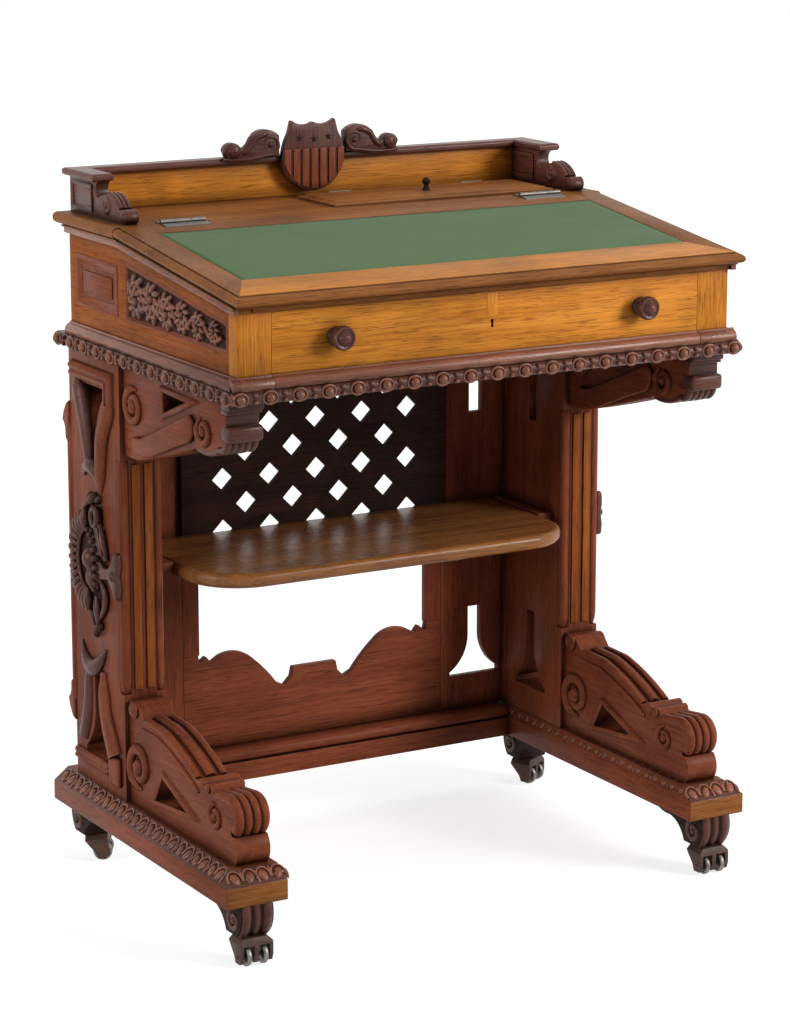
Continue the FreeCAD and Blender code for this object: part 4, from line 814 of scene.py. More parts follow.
def planted(tree, entry, shape, choose=None):
    """Put a shape on every point, its own Z along the point's facing and its X level."""
    facing = wire(tree, "GeometryNodeInputNamedAttribute", {"Name": "facing"},
                  data_type="FLOAT_VECTOR").outputs[0]
    out = wire(tree, "FunctionNodeAlignRotationToVector", {"Vector": facing}, axis="Z").outputs[0]
    level = wire(tree, "ShaderNodeVectorMath", {0: (0, 0, 1), 1: facing},
                 operation="CROSS_PRODUCT").outputs[0]
    turned = wire(tree, "FunctionNodeAlignRotationToVector", {"Rotation": out, "Vector": level}, axis="X",
                  pivot_axis="Z").outputs[0]
    inputs = {"Points": entry.outputs["Geometry"], "Instance": shape, "Rotation": turned}
    if choose is not None:
        inputs["Selection"] = choose
    return wire(tree, "GeometryNodeInstanceOnPoints", inputs).outputs[0]


def closed_tree(tree, entry, geometry):
    real = wire(tree, "GeometryNodeRealizeInstances", {"Geometry": geometry}).outputs[0]
    painted = wire(tree, "GeometryNodeSetMaterial", {
        "Geometry": real, "Material": entry.outputs["Finish"]}).outputs[0]
    wire(tree, "NodeGroupOutput", {"Geometry": painted})
    return tree


def bead_tree():
    """Round bosses in rims on the even points and pairs of small beads on the odd ones."""
    tree, entry = ornament_tree("bead_course", {"Height": 0.0138})
    height = entry.outputs["Height"]
    circle = wire(tree, "GeometryNodeCurvePrimitiveCircle", {"Resolution": 22, "Radius": 1}).outputs[0]
    oval = scaled(tree, circle, (height, 0.60), (height, 0.47))
    rim = piping(tree, oval, 7, times(tree, height, 0.12), False)
    boss = egg(tree, 10, 18, (height, 0.42), (height, 0.42), (height, 0.44))
    bead = egg(tree, 6, 12, (height, 0.23), (height, 0.21), (height, 0.28))
    lift = times(tree, height, 0.25)
    pair = joined(tree, [shifted(tree, bead, y=lift), shifted(tree, bead, y=times(tree, lift, -1))])
    index = wire(tree, "GeometryNodeInputIndex").outputs[0]
    odd = maths(tree, "MODULO", index, 2)
    even = maths(tree, "SUBTRACT", 1, odd)
    parts = [planted(tree, entry, joined(tree, [rim, boss]), even), planted(tree, entry, pair, odd)]
    return closed_tree(tree, entry, joined(tree, parts))


def leaf_tree():
    """Leaf unit: two leaning lobes under arches, with a tip between them."""
    tree, entry = ornament_tree("water_leaf", {"Width": 0.041, "Height": 0.023})
    width, height = entry.outputs["Width"], entry.outputs["Height"]
    lobe = egg(tree, 6, 12, (width, 0.155), (height, 0.38), (width, 0.085))
    tip = egg(tree, 6, 8, (width, 0.06), (height, 0.32), (width, 0.06))
    arc = wire(tree, "GeometryNodeCurveArc", {
        "Resolution": 12, "Radius": 1, "Start Angle": math.radians(-20),
        "Sweep Angle": math.radians(220)}).outputs[0]
    arch = scaled(tree, arc, (width, 0.225), (height, 0.47))
    rim = piping(tree, arch, 6, times(tree, width, 0.046), True)
    apart = times(tree, width, 0.245)
    low = times(tree, height, -0.06)
    parts = []
    for side in (1, -1):
        place = times(tree, apart, side)
        parts.append(shifted(tree, lobe, x=place, y=low, turn=-22 * side))
        parts.append(shifted(tree, rim, x=place, y=low))
    parts.append(shifted(tree, tip, y=times(tree, height, 0.14)))
    parts.append(shifted(tree, tip, x=times(tree, width, 0.5), y=times(tree, height, -0.18)))
    return closed_tree(tree, entry, planted(tree, entry, joined(tree, parts)))


def screw_tree():
    """Countersunk screw head with a raised burr each side of its slot."""
    tree, entry = ornament_tree("screw_head", {"Width": 0.0052})
    width = entry.outputs["Width"]
    head = egg(tree, 6, 16, (width, 0.5), (width, 0.5), (width, 0.09))
    burr = egg(tree, 4, 8, (width, 0.42), (width, 0.12), (width, 0.13))
    parts = [head] + [shifted(tree, burr, y=times(tree, width, side)) for side in (0.2, -0.2)]
    return closed_tree(tree, entry, planted(tree, entry, joined(tree, parts)))


def spaced(first, last, pitch):
    """Even places from first to last, about a pitch apart, an odd number of them."""
    count = max(2, int(round(abs(last - first) / pitch)))
    count += count % 2
    return [first + (last - first) * k / count for k in range(count + 1)]


class DESK_OT_beads(bpy.types.Operator):
    """Carve bosses and beads along the frame under the case"""
    bl_idname = "desk.beads"
    bl_label = "Bead course"

    def execute(self, context):
        sizes = context.scene.desk_sizes
        low, high = limits("carved_frame")
        level = (low[2] + high[2]) / 2
        half_pitch = sizes.bead_pitch / MM / 2
        points = []
        for x in spaced(low[0] + 12, high[0] - 12, half_pitch):
            points.append((at(x, low[1] + 0.9, level), FRONT))
        points.append((at(low[0] + 3, low[1] + 3, level), OUT + FRONT))
        for side, out in ((low[0] + 0.9, OUT), (high[0] - 0.9, -OUT)):
            run = spaced(low[1] + 14, high[1] - 12, half_pitch)
            points += [(at(side, y, level), out) for y in run + [run[-2]]]
        values = {"Height": (high[2] - low[2]) * MM * 0.96, "Finish": Finishes.get("umber_oak", "X")}
        grown("bead_course", bead_tree(), values, points, "desk", "dark_oak", "X", "umber_oak")
        return {"FINISHED"}


class DESK_OT_runner_leaves(bpy.types.Operator):
    """Carve the leaves along the runner mouldings"""
    bl_idname = "desk.runner_leaves"
    bl_label = "Runner leaves"

    def execute(self, context):
        sizes = context.scene.desk_sizes
        pitch = sizes.leaf_pitch / MM
        low, high = limits("base_runner_left")
        outer, inner = -low[0], -high[0]
        level = high[2] - 8
        points = []
        for side in (-1, 1):
            facing = Vector((side * 16, 0, 18)).normalized()
            for y in spaced(low[1] + 42, high[1] - 26, pitch):
                points.append((at(side * (outer - 9.5), y, level), facing))
            facing = Vector((0, -16, 18)).normalized()
            for x in (inner + 18, outer - 24):
                points.append((at(side * x, low[1] + 9.5, level), facing))
        values = {"Width": sizes.leaf_pitch * 0.94, "Height": 0.0225,
                  "Finish": Finishes.get("umber_oak", "Y")}
        tree = leaf_tree()
        grown("runner_leaves", tree, values, points, "desk", "red_oak", "Y", "umber_oak")
        points = []
        for side in (-1, 1):
            facing = Vector((-side, 0, 1)).normalized()
            for y in spaced(low[1] + 34, high[1] - 66, pitch):
                points.append((at(side * (inner + RUNNER_CUT / 2), y, high[2] - RUNNER_CUT / 2), facing))
        values["Height"] = RUNNER_CUT * MM * 1.36
        grown("runner_inner_leaves", tree, values, points, "desk", "red_oak", "Y", "umber_oak")
        return {"FINISHED"}


class DESK_OT_hinge_screws(bpy.types.Operator):
    """Drive the screws of the slope hinges"""
    bl_idname = "desk.hinge_screws"
    bl_label = "Hinge screws"

    def execute(self, context):
        width = context.scene.desk_sizes.screw_width
        low, high = limits("slope_hinge_leaves")
        ledge = limits("ledge_hinge_leaves")[0][2]
        facing = Vector((0, -SLOPE_FALL, 1)).normalized()
        leaf = 1.2
        moving, fixed = [], []
        for side in (-1, 1):
            for step in (-20, 0, 20):
                x = side * (high[0] - 29) + step
                y = low[1] + 6
                top = HINGE_LEVEL - SLOPE_FALL * (HINGE_LINE - y)
                moving.append((at(x, y, top + leaf), facing))
                fixed.append((at(x, HINGE_LINE + 9, ledge + leaf), UP))
        tree = screw_tree()
        values = {"Width": width, "Finish": Finishes.get("hinge_steel", "X")}
        grown("slope_hinge_screws", tree, values, moving, "writing_slope", "hinge_steel", "X")
        grown("ledge_hinge_screws", tree, values, fixed, "desk", "hinge_steel", "X")
        return {"FINISHED"}


# Carving on the stand
STANDARD_OUT, STANDARD_IN, STANDARD_FRONT = -335.5, -281.5, 284


class DESK_OT_standards(bpy.types.Operator):
    """Carve the standards: frames and bands round the piercings, husks, back rolls and pilasters"""
    bl_idname = "desk.standards"
    bl_label = "Standards"

    def execute(self, context):
        self.bands()
        self.husks()
        self.back_rolls()
        self.pilasters()
        return {"FINISHED"}

    @staticmethod
    def bands():
        work = Carving()
        on_face = raised(STANDARD_OUT, OUT)
        bar = [(0, -2), (0, 1), (1.5, 4), (5, 6.6), (8, 6.8), (9.5, 5), (11, 4.6), (15, 7.4),
               (19, 5.6), (21.5, 2), (22, -2)]
        work.moulding([(412, 612), (320, 612), (320, 586)], bar, on_face)
        work.moulding([(326, 150), (420, 150)], [(o * 0.75, u * 0.75) for o, u in bar], on_face)
        work.band([(309, 594, 12.5), (312, 584, 14), (322, 569, 14.5), (331, 548, 14),
                   (335, 520, 13), (338, 500, 11), (340, 484, 5)], OUT, STANDARD_OUT, 0.6, 14)
        work.band([(340, 262, 6), (338, 236, 13), (334, 214, 14.5), (327, 196, 15.5),
                   (318, 181, 16.5), (309, 164, 17)], OUT, STANDARD_OUT, 0.55, 14)
        work.block((STANDARD_OUT - 5, 294, 128), (STANDARD_OUT + 1, 325, 164), 2.4)
        work.pair("standard_bands", "desk", "red_oak", "Z", sharp=50)

    @staticmethod
    def husks():
        work = Carving()
        work.band([(398, 614, 7), (394, 602, 12), (386, 580, 12.5), (377, 552, 11),
                   (372, 524, 9), (370, 506, 4)], OUT, STANDARD_OUT + 1, 0.8, 14)
        work.band([(374, 268, 4), (383, 245, 9), (384, 222, 10), (389, 196, 11),
                   (400, 168, 10)], OUT, STANDARD_OUT + 1, 0.75, 14)
        work.band([(384, 497, 1.5), (377, 508, 7), (363, 512, 10), (349, 506, 8),
                   (343, 492, 1.5)], OUT, STANDARD_OUT - 1, 0.8, 14)
        work.band([(399, 289, 1.5), (388, 270, 8), (369, 261, 11), (347, 273, 8),
                   (331, 291, 1.5)], OUT, STANDARD_OUT - 1, 0.8, 14)
        work.pair("standard_husks", "desk", "red_oak", "Z", sharp=50, finish="dark_oak")

    @staticmethod
    def back_rolls():
        work = Carving()
        work.tube([at(-329, 426, z) for z in (204, 210, 548, 556)], [5, 9, 9, 6], FRONT, 1, 14)
        spur = [(423, 26), (431, 21), (438, 11), (442.5, -1), (438, -4), (434.5, -10), (433.5, -24),
                (423, -28)]
        for level, way in ((556, 1), (206, -1)):
            outline = [(y, level + way * up) for y, up in spur]
            work.slab(on_side(-338.5, outline), OUT * (-26 * MM), 3, 3)
        for low, high in ((114.5, 236), (526, 645.5)):
            work.block((-302, 419, low), (-280.5, 437.5, high), 0.6)
        work.pair("standard_back_rolls", "desk", "red_oak", "Z")

    @staticmethod
    def pilasters():
        fillets = Carving()
        for left in (-321, -305):
            fillets.block((left, STANDARD_FRONT - 2.2, 252), (left + 9.6, STANDARD_FRONT + 1, 526), 0.7)
        # The fillets take the darker copy of the golden oak: painted shade
        fillets.pair("pilaster_fillets", "desk", "golden_oak", "Z", finish="amber_oak")
        rolls = Carving()
        for x in (STANDARD_OUT + 6, STANDARD_IN - 6):
            rolls.tube([at(x, STANDARD_FRONT + 6.5, z) for z in (244, 252, 262, 524, 534, 541)],
                       [3, 6, 7.2, 7.2, 6, 3], FRONT, 1, 12)
        rolls.pair("pilaster_rolls", "desk", "red_oak", "Z")


# Swellings of the cartouche: proud, depth, level, lean, half axes and height, rings, sides
CARTOUCHE_DOMES = [
    (3, 358, 400, 0, 15, 12.5, 14, 6, 22), (3, 353, 378, 0.28, 20, 8, 11, 5, 18),
    (3, 364, 376, -0.2, 14, 5, 8, 5, 14), (0, 352, 474, 0, 8, 6.4, 12, 4, 14),
    (0, 363, 472, 0.5, 9, 4.4, 9, 4, 12), (0, 341, 474, -0.6, 7, 3.6, 8, 4, 12),
    (0, 335, 437, 0, 8, 6, 9, 4, 12), (7, 294.5, 391, 0, 6.4, 6, 6, 4, 14),
    (2, 341, 319, 0, 5, 4.8, 9, 4, 14), (2, 349, 310, -0.4, 8, 3.6, 8, 4, 12),
]

# Leaves and ribbons of the cartouche: proud, fullness, and knots of depth, level and half width
CARTOUCHE_BANDS = [
    (3, 1, [(338, 446, 4), (331, 430, 6.6), (325, 414, 6), (320, 404, 3)]),
    (3, 1.1, [(336, 376, 3), (325, 364, 4), (324, 350, 4), (332, 338, 3.4), (339, 330, 2)]),
    (2, 1, [(352, 354, 3), (350, 343, 6), (347, 329, 5.6), (345, 312, 2)]),
    (2, 1, [(372, 352, 2), (370, 340, 4.2), (364, 327, 3.8), (358, 313, 1.5)]),
    (2, 1, [(382, 438, 3), (384, 449, 4.8), (378, 460, 4), (370, 465, 2)]),
]


class DESK_OT_cartouches(bpy.types.Operator):
    """Carve the oval cartouches on the standards"""
    bl_idname = "desk.cartouches"
    bl_label = "Cartouches"

    def execute(self, context):
        face = STANDARD_OUT
        hub = (366, 397)

        def oval(wide, tall, turn):
            return (hub[0] + wide * math.cos(turn), hub[1] + tall * math.sin(turn))

        ground = Carving()
        ground.dome(at(face, *hub), OUT, UP, 56, 43, 5, 4, 36)
        ground.pair("cartouche_ground", "desk", "dark_oak", "Z", ("cartouches",), finish="black_oak")
        work = Carving()
        for k in range(15):
            turn = math.radians(84 - 12.6 * k)
            rib = [oval(26 + 5.5 * s, 37 + 6.2 * s, turn) for s in range(5)]
            work.tube(on_side(face - 7, rib), [2.6, 4.8, 5.6, 5, 3], OUT, 1.3, 10)
        hem = [oval(27, 38, math.radians(a)) for a in range(96, -101, -12)]
        work.tube(on_side(face - 6, hem), 3, OUT, 1.2, 8)
        beads = [(380, 436, 3), (371.5, 437, 3.2), (363, 434.5, 3.4), (355.5, 430, 3.8),
                 (349, 423, 4.2), (344, 414, 4.6), (341, 403.5, 4.8), (339.8, 392.5, 4.6),
                 (340.5, 382, 4.2), (342.5, 372.5, 3.8), (346, 364, 3.4)]
        work.tube(on_side(face - 4, [b[:2] for b in beads]), 3.4, OUT, 1, 8)
        knobs = [(6, y, z, 0, size, size, size * 1.7, 4, 12) for y, z, size in beads]
        for proud, y, z, lean, wide, tall, high, rings, sides in knobs + CARTOUCHE_DOMES:
            work.dome(at(face - proud, y, z), OUT, Vector((0, lean, 1)), wide, tall, high, rings, sides)
        ring = [(344 + 7.5 * math.cos(t), 453 + 11 * math.sin(t))
                for t in (2 * math.pi * k / 20 for k in range(20))]
        work.tube(on_side(face - 6, ring), 3.6, OUT, 1.4, 10, True)
        for proud, flat, knots in CARTOUCHE_BANDS:
            work.band(knots, OUT, face - proud, flat)
        for step in (-3.6, 0, 3.6):
            rib = [(337 + step, 442), (331.5 + step, 427), (325 + step, 410)]
            work.tube(on_side(face - 8.5, rib), 1.5, OUT, 1, 6)
        tab = [(336, 403), (322, 395), (308, 398), (299, 408), (291, 421), (286, 417),
               (285, 404), (288, 391), (285, 378), (286, 364), (292, 362), (299, 374),
               (310, 383), (336, 378)]
        work.slab(on_side(face + 1, tab), OUT * (9 * MM), 2.6, 3)
        work.pair("cartouche_carving", "desk", "dark_oak", "Z", sharp=60)
        return {"FINISHED"}


CONSOLE_BACK, CONSOLE_REACH, CONSOLE_LOW, CONSOLE_RISE = 284, 280, 114, 126
CONSOLE_FACES = (-329.5, -287.5)


def console(out, up):
    return (CONSOLE_BACK - CONSOLE_REACH * out, CONSOLE_LOW + CONSOLE_RISE * up)


class DESK_OT_consoles(bpy.types.Operator):
    """Carve the foot consoles: scrolls, flutes, tie band and volute"""
    bl_idname = "desk.consoles"
    bl_label = "Foot consoles"

    def execute(self, context):
        work = Carving()
        hole = [console(0.56, 0.24), console(0.26, 0.17), console(0.33, 0.43)]
        slope = bend(console(0.62, 0.6), console(0.446, 0.77), console(0.298, 0.862), 14)
        slope.append(console(0.15, 0.872))
        edge = bend(console(0.66, 0.50), console(0.45, 0.685), console(0.298, 0.78), 14)
        edge.append(console(0.13, 0.79))
        for x, out in zip(CONSOLE_FACES, (OUT, -OUT)):
            scroll(work, x, (255, 165), 27, 11.5, 1.3, -100, 1, 8.4, out, 0.9)
            scroll(work, x, (56, 160), 15, 6.6, 1.1, 90, -1, 5.4, out, 1)
            work.tube(on_side(x, edge), [2] + [3.4] * (len(edge) - 2) + [2], out, 0.9, 8)
            work.moulding(leftward(hole), [(0, -2), (0, 3), (2.5, 4.4), (6, 3), (8, -2)],
                          raised(x, out), True)
        volute = bend(console(0.91, 0.575), console(0.985, 0.44), console(0.915, 0.27), 12)
        volute.insert(0, console(0.80, 0.545))
        middle = sum(CONSOLE_FACES) / 2
        for offset, size in ((-16.5, 4.8), (0, 7), (16.5, 4.8)):
            work.tube(on_side(middle + offset, slope), size, UP, 0.8, 10)
        for offset in (-16, -5.5, 5.5, 16):
            work.tube(on_side(middle + offset, volute), 6.2, FRONT + UP, 1, 12)
        for out, up, size in ((0.70, 0.605, 6.6), (0.745, 0.585, 6)):
            band = [at(middle + x, *console(out, up)) for x in (-24.5, -23, 23, 24.5)]
            work.tube(band, [size * 0.6, size, size, size * 0.6], UP, 0.95, 12)
        pillow = [at(middle + x, *console(0.055, 0.93)) for x in (-26, -23.5, 23.5, 26)]
        work.tube(pillow, [7, 11, 11, 7], UP, 0.85, 16)
        work.pair("console_carving", "desk", "red_oak", "Y", sharp=50)
        return {"FINISHED"}


BRACKET_BACK, BRACKET_REACH, BRACKET_TOP, BRACKET_DROP = 284, 263, 646, 108


def bracket(out, down):
    return (BRACKET_BACK - BRACKET_REACH * out, BRACKET_TOP - BRACKET_DROP * down)


class DESK_OT_brackets(bpy.types.Operator):
    """Carve the top brackets: raised arm, scrolls, edge rolls, end mouldings and reeds"""
    bl_idname = "desk.brackets"
    bl_label = "Top brackets"

    def execute(self, context):
        work = Carving()
        hole = [(173, 632), (171, 608.5), (114.5, 630)]
        arm = [(252, 567), (235, 567.5), (200, 580), (147, 602), (104, 619), (94, 612),
               (94, 598), (104, 586), (140, 574), (175, 561), (205, 550), (225, 546.5),
               (245, 549), (254, 556)]
        for x, out in zip(CONSOLE_FACES, (OUT, -OUT)):
            work.slab(on_side(x - out.x, arm), out * (7 * MM), 4, 3)
            scroll(work, x, (254, 601), 22, 10, 1.25, 110, -1, 7, out, 0.95)
            scroll(work, x, (72, 604), 16.5, 7, 1.2, 60, -1, 5.8, out, 1.1)
            work.moulding(leftward(hole), [(0, -2), (0, 3), (2, 4.6), (5.5, 3.4), (8, -2)],
                          raised(x, out), True)
        middle = sum(CONSOLE_FACES) / 2
        under = bend(bracket(0.66, 0.62), bracket(0.36, 0.825), bracket(0.12, 0.975), 12)
        for offset in (-16, 0, 16):
            work.tube(on_side(middle + offset, under), 5, -UP, 0.9, 10)
        work.pair("bracket_carving", "desk", "dark_oak", "Y", sharp=50, finish="red_oak")
        ends = Carving()
        reeds = bend(bracket(0.99, 0.36), bracket(0.985, 0.46), bracket(0.92, 0.53), 8)
        reeds += bend(bracket(0.92, 0.53), bracket(0.83, 0.60), bracket(0.73, 0.60), 8)[1:]
        for offset in (-16.4, -8.2, 0, 8.2, 16.4):
            ends.tube(on_side(middle + offset, reeds), 4.8, FRONT - UP, 1, 10)
        half = 22
        ends.block((middle - half, 10, 636), (middle + half, 30, 645.2), 1.6)
        ends.block((middle - half, 15.5, 631.5), (middle + half, 30, 636.5), 0.8)
        ends.block((middle - half, 11, 600), (middle + half, 34, 618.5), 4)
        ends.pair("bracket_ends", "desk", "dark_oak", "X", sharp=50)
        return {"FINISHED"}


class DESK_OT_feet(bpy.types.Operator):
    """Carve the foot blocks and build the caster wheels"""
    bl_idname = "desk.feet"
    bl_label = "Feet and casters"

    def execute(self, context):
        work = Carving()
        stem_x = 315.5
        for stem, way in ((4.5, -1), (423, 1)):
            for x, out in ((-stem_x - 21, OUT), (-stem_x + 21, -OUT)):
                scroll(work, x, (stem + way * 3, 54), 13, 5, 1.2, 90, way, 4, out, 0.7)
            front = bend((stem + way * 17.5, 73), (stem + way * 18.5, 55), (stem + way * 9.5, 37.5), 8)
            for offset, size in ((-13.5, 6.4), (0, 5), (13.5, 6.4)):
                work.tube(on_side(offset - stem_x, front), size, FRONT * -way, 0.8, 10)
        work.pair("foot_carving", "desk", "red_oak", "Y", finish="dark_oak")
        rim = [(2.1, -3), (6, -2.6), (8.2, -2.2), (9.4, -3), (11.2, -2.7), (12, -1.6), (12, 1.6),
               (11.2, 2.7), (9.4, 3), (8.2, 2.2), (6, 2.6), (2.1, 3), (2.1, -3)]
        turns = {"front_left": 0, "front_right": 0, "rear_left": 60, "rear_right": 30}
        for corner, turn in turns.items():
            fork = Carving()
            fork.node("caster_fork_" + corner, 1.3)
            fork.piece("fork_" + corner, "caster_" + corner, "caster_iron", "X", ("caster_fork_" + corner,))
            low, high = limits("caster_wheels_" + corner)
            middle = at(*[(a + b) / 2 for a, b in zip(low, high)])
            axle = Vector((math.cos(math.radians(turn)), math.sin(math.radians(turn)), 0))
            wheels = Carving()
            for apart in (-10.5, 10.5):
                wheels.turned(rim, middle + axle * (apart * MM), axle, 36)
            bmesh.ops.remove_doubles(wheels.bm, verts=wheels.bm.verts, dist=1e-7)
            wheels.piece("wheels_" + corner, "wheels_" + corner, "wheel_steel", "X",
                         ("caster_wheels_" + corner,))
        return {"FINISHED"}


class DESK_OT_side_panels(bpy.types.Operator):
    """Frame the side panels and carve the foliage of the tapered ones"""
    bl_idname = "desk.side_panels"
    bl_label = "Side panels"

    def execute(self, context):
        face = -324
        low, front, back, rail = 698, 22, 281, 25

        def roof(y):
            return HINGE_LEVEL - SLOPE_FALL * (HINGE_LINE - y) - SLOPE_THICK - rail

        def inside(y, z, margin):
            """A place kept within the tapered panel."""
            held = min(max(y, front + 8), back - 8)
            return (held, min(max(z, low + margin), roof(held) - margin))

        on_panel = raised(face, OUT)
        frames = Carving()
        frames.moulding([(301, 699), (416, 699), (416, 760), (301, 760)],
                        [(0, -2), (0, 2.6), (-2.5, 3.2), (-5, 2.6), (-8, 0.9), (-12, 0.4), (-12, -2)],
                        on_panel, True)
        frames.moulding([(front, low), (back, low), (back, roof(back)), (front, roof(front))],
                        [(0, -2), (0, 2), (-2, 2.4), (-4, 1.4), (-5.5, 0.2), (-5.5, -2)], on_panel, True)
        frames.pair("panel_mouldings", "desk", "golden_oak", "Y", finish="red_oak")
        field = Carving()
        outline = [(319, 717), (398, 717), (398, 742), (319, 742)]
        field.slab(on_side(face + 1, outline), OUT * (2.6 * MM), 1)
        field.pair("panel_fields", "desk", "golden_oak", "Y", finish="red_oak")
        work = Carving()
        count = 6
        stem = []
        for k in range(count * 8 + 1):
            y = back - 10 - (back - front - 20) * k / (count * 8)
            swing = (roof(y) - low - 14) * 0.34
            stem.append((y, (low + roof(y)) / 2 + swing * math.sin(math.pi * k / 8)))
        work.tube(on_side(face - 1, stem), 3, OUT, 1.4, 8)
        for k in range(count):
            y = back - 10 - (back - front - 20) * (k + 0.5) / count
            room = (roof(y) - low - 12) / 2
            way = 1 if k % 2 == 0 else -1
            hub = (y, (low + roof(y)) / 2 - way * room * 0.22)
            reach = min(room * 0.72, 17)
            for leaf in range(9):
                turn = math.radians(40 * leaf + 25 * k)
                spot = inside(hub[0] + reach * 0.78 * math.cos(turn),
                              hub[1] + reach * 0.78 * math.sin(turn), 8)
                lean = Vector((0, math.cos(turn + 0.5), math.sin(turn + 0.5)))
                work.dome(at(face, *spot), OUT, lean, reach * 0.56, reach * 0.27, 5.6, 4, 10)
            work.dome(at(face, *hub), OUT, UP, reach * 0.34, reach * 0.34, 7.5, 4, 12)
            for leaf in range(4):
                turn = math.radians(90 * way + 42 * (leaf - 1.5))
                spot = inside(y + reach * 1.15 * math.cos(turn),
                              (low + roof(y)) / 2 + room * 0.74 * math.sin(turn), 7)
                lean = Vector((0, math.cos(turn + 0.6), math.sin(turn + 0.6)))
                work.dome(at(face, *spot), OUT, lean, room * 0.40, room * 0.18, 5, 4, 8)
        work.pair("panel_foliage", "desk", "golden_oak", "Y", sharp=60, finish="umber_oak")
        return {"FINISHED"}


class DESK_OT_gallery(bpy.types.Operator):
    """Carve the gallery ends, build the crest and the pen lid"""
    bl_idname = "desk.gallery"
    bl_label = "Gallery and crest"

    def execute(self, context):
        self.ends()
        self.crest()
        self.shield()
        self.pen_lid()
        return {"FINISHED"}

    @staticmethod
    def ends():
        work = Carving()
        faces = (-316, -299)
        middle = sum(faces) / 2
        for x, out in zip(faces, (OUT, -OUT)):
            work.moulding([(388, 811), (447, 811), (447, 844), (388, 844)],
                          [(0, -1), (0, 1.8), (-2, 2.2), (-5, 0.6), (-5, -1)],
                          raised(x, out), True)
            scroll(work, x - out.x * 0.4, (348, 823.5), 9.4, 3.6, 1.2, 60, -1, 3.2, out, 0.8)
            work.dome(at(x, 304.8, 814.6), out, UP, 4.6, 4.6, 2.4)
        for y, z, size in ((348, 823.5, 12.6), (304.8, 814.6, 8.2)):
            work.tube([at(middle + x, y, z) for x in (-9.3, -7.6, 7.6, 9.3)],
                      [size - 1.5, size, size, size - 1.5], UP, 1, 20)
        top = bend((316, 823), (328, 832.5), (346, 836.5), 8)
        for offset in (-5.4, 0, 5.4):
            work.tube(on_side(middle + offset, top), 3.2, UP, 1, 10)
        work.pair("gallery_end_carving", "desk", "dark_oak", "Y", sharp=50)

    @staticmethod
    def crest():
        work = Carving()
        plane, hub = 430.5, (-59, 872.5)
        infill = [(-100, 860.5), (-90, 867), (-82, 878), (-71, 883.5), (-59, 884.5), (-48, 880),
                  (-45.5, 872), (-48, 863), (-60, 859.5), (-80, 858)]
        work.slab(on_front(plane - 4.6, infill), FRONT * (-8 * MM), 1.6)
        strap = bend((-122, 857.5), (-95, 856.5), (-66, 860), 10) + spiral(hub, 12.4, 4.2, 1.5, -100, 1, 40)
        count = len(strap)
        radii = [2.4 + 1.6 * min(1, k / 6) - 1.6 * max(0, (k - 12) / (count - 13)) for k in range(count)]
        work.tube(on_front(plane, strap), radii, FRONT, 2, 12)
        arm = bend((-101, 862.5), (-91, 867), (-82, 879), 8)
        arm += bend((-82, 879), (-71, 884.6), (-58, 885), 8)[1:]
        work.tube(on_front(plane, arm), [3, 4.2] + [5.4] * (len(arm) - 5) + [4.6, 3.6, 2.4], FRONT, 1.6, 14)
        work.tube([at(-109, y, 867) for y in (421.5, 424, 436.5, 438.5)], [6, 8.4, 8.4, 6], UP, 1, 20)
        work.dome(at(-109, 422, 867), FRONT, UP, 3.6, 3.6, 1.8)
        work.dome(at(hub[0], plane - 4.4, hub[1]), FRONT, UP, 4.4, 4.4, 4)
        work.mirror()
        work.node("crest_scrolls", 2)
        work.piece("crest_scroll_carving", "desk", "dark_oak", "X", ("crest_scrolls",), 50)

    @staticmethod
    def shield():
        """Scooped plate with raised stripes and three stars."""
        half, rise, tip, face = 44.5, 88.5, 812.5, 422.4

        def spot(across, up):
            return (half * across, tip + rise * up)

        right = bend(spot(0, 0), spot(0.62, 0.125), spot(0.98, 0.45), 14)
        right += bend(spot(0.98, 0.45), spot(0.93, 0.63), spot(0.77, 0.82), 8)[1:]
        right.append(spot(0.68, 1))
        right += bend(spot(0.68, 1), spot(0.34, 0.93), spot(0, 0.965), 8)[1:]
        outline = right + [(-x, z) for x, z in reversed(right[1:-1])]
        plate = Carving()
        plate.slab(on_front(face, outline), FRONT * (-10 * MM), 1.6, 3)
        plate.block((-24, 430, 834), (24, 439, 884), 1.5)
        plate.piece("shield_plate", "desk", "dark_oak", "Z", ("crest_shield",))
        level = tip + rise * 0.60

        def foot(x):
            line = [p for p in right if p[1] < level]
            for one, two in zip(line, line[1:]):
                if one[0] <= abs(x) <= two[0]:
                    return one[1] + (two[1] - one[1]) * (abs(x) - one[0]) / max(1e-6, two[0] - one[0])
            return line[-1][1]

        stripes = Carving()
        pitch, wide = 12.4, 8.8
        for k in range(-3, 4):
            left, right_edge = k * pitch - wide / 2, k * pitch + wide / 2
            low_left, low_right = foot(left) + 3, foot(right_edge) + 3
            bar = [(left, low_left), (right_edge, low_right), (right_edge, level), (left, level)]
            stripes.slab(on_front(face + 0.4, bar), FRONT * (2.2 * MM), 0.9)
        stripes.piece("shield_stripes", "desk", "dark_oak", "Z", finish="red_oak")
        stars = Carving()
        for x, z in ((-20, level + 13), (0, level + 11), (20, level + 13)):
            star = []
            for k in range(10):
                reach = 5.6 if k % 2 == 0 else 2.2
                turn = math.radians(90 + 36 * k)
                star.append((x + reach * math.cos(turn), z + reach * math.sin(turn)))
            stars.slab(on_front(face + 0.5, star), FRONT * (0.9 * MM), 0.2)
        stars.piece("shield_stars", "desk", "dark_oak", "Z", finish="black_oak")

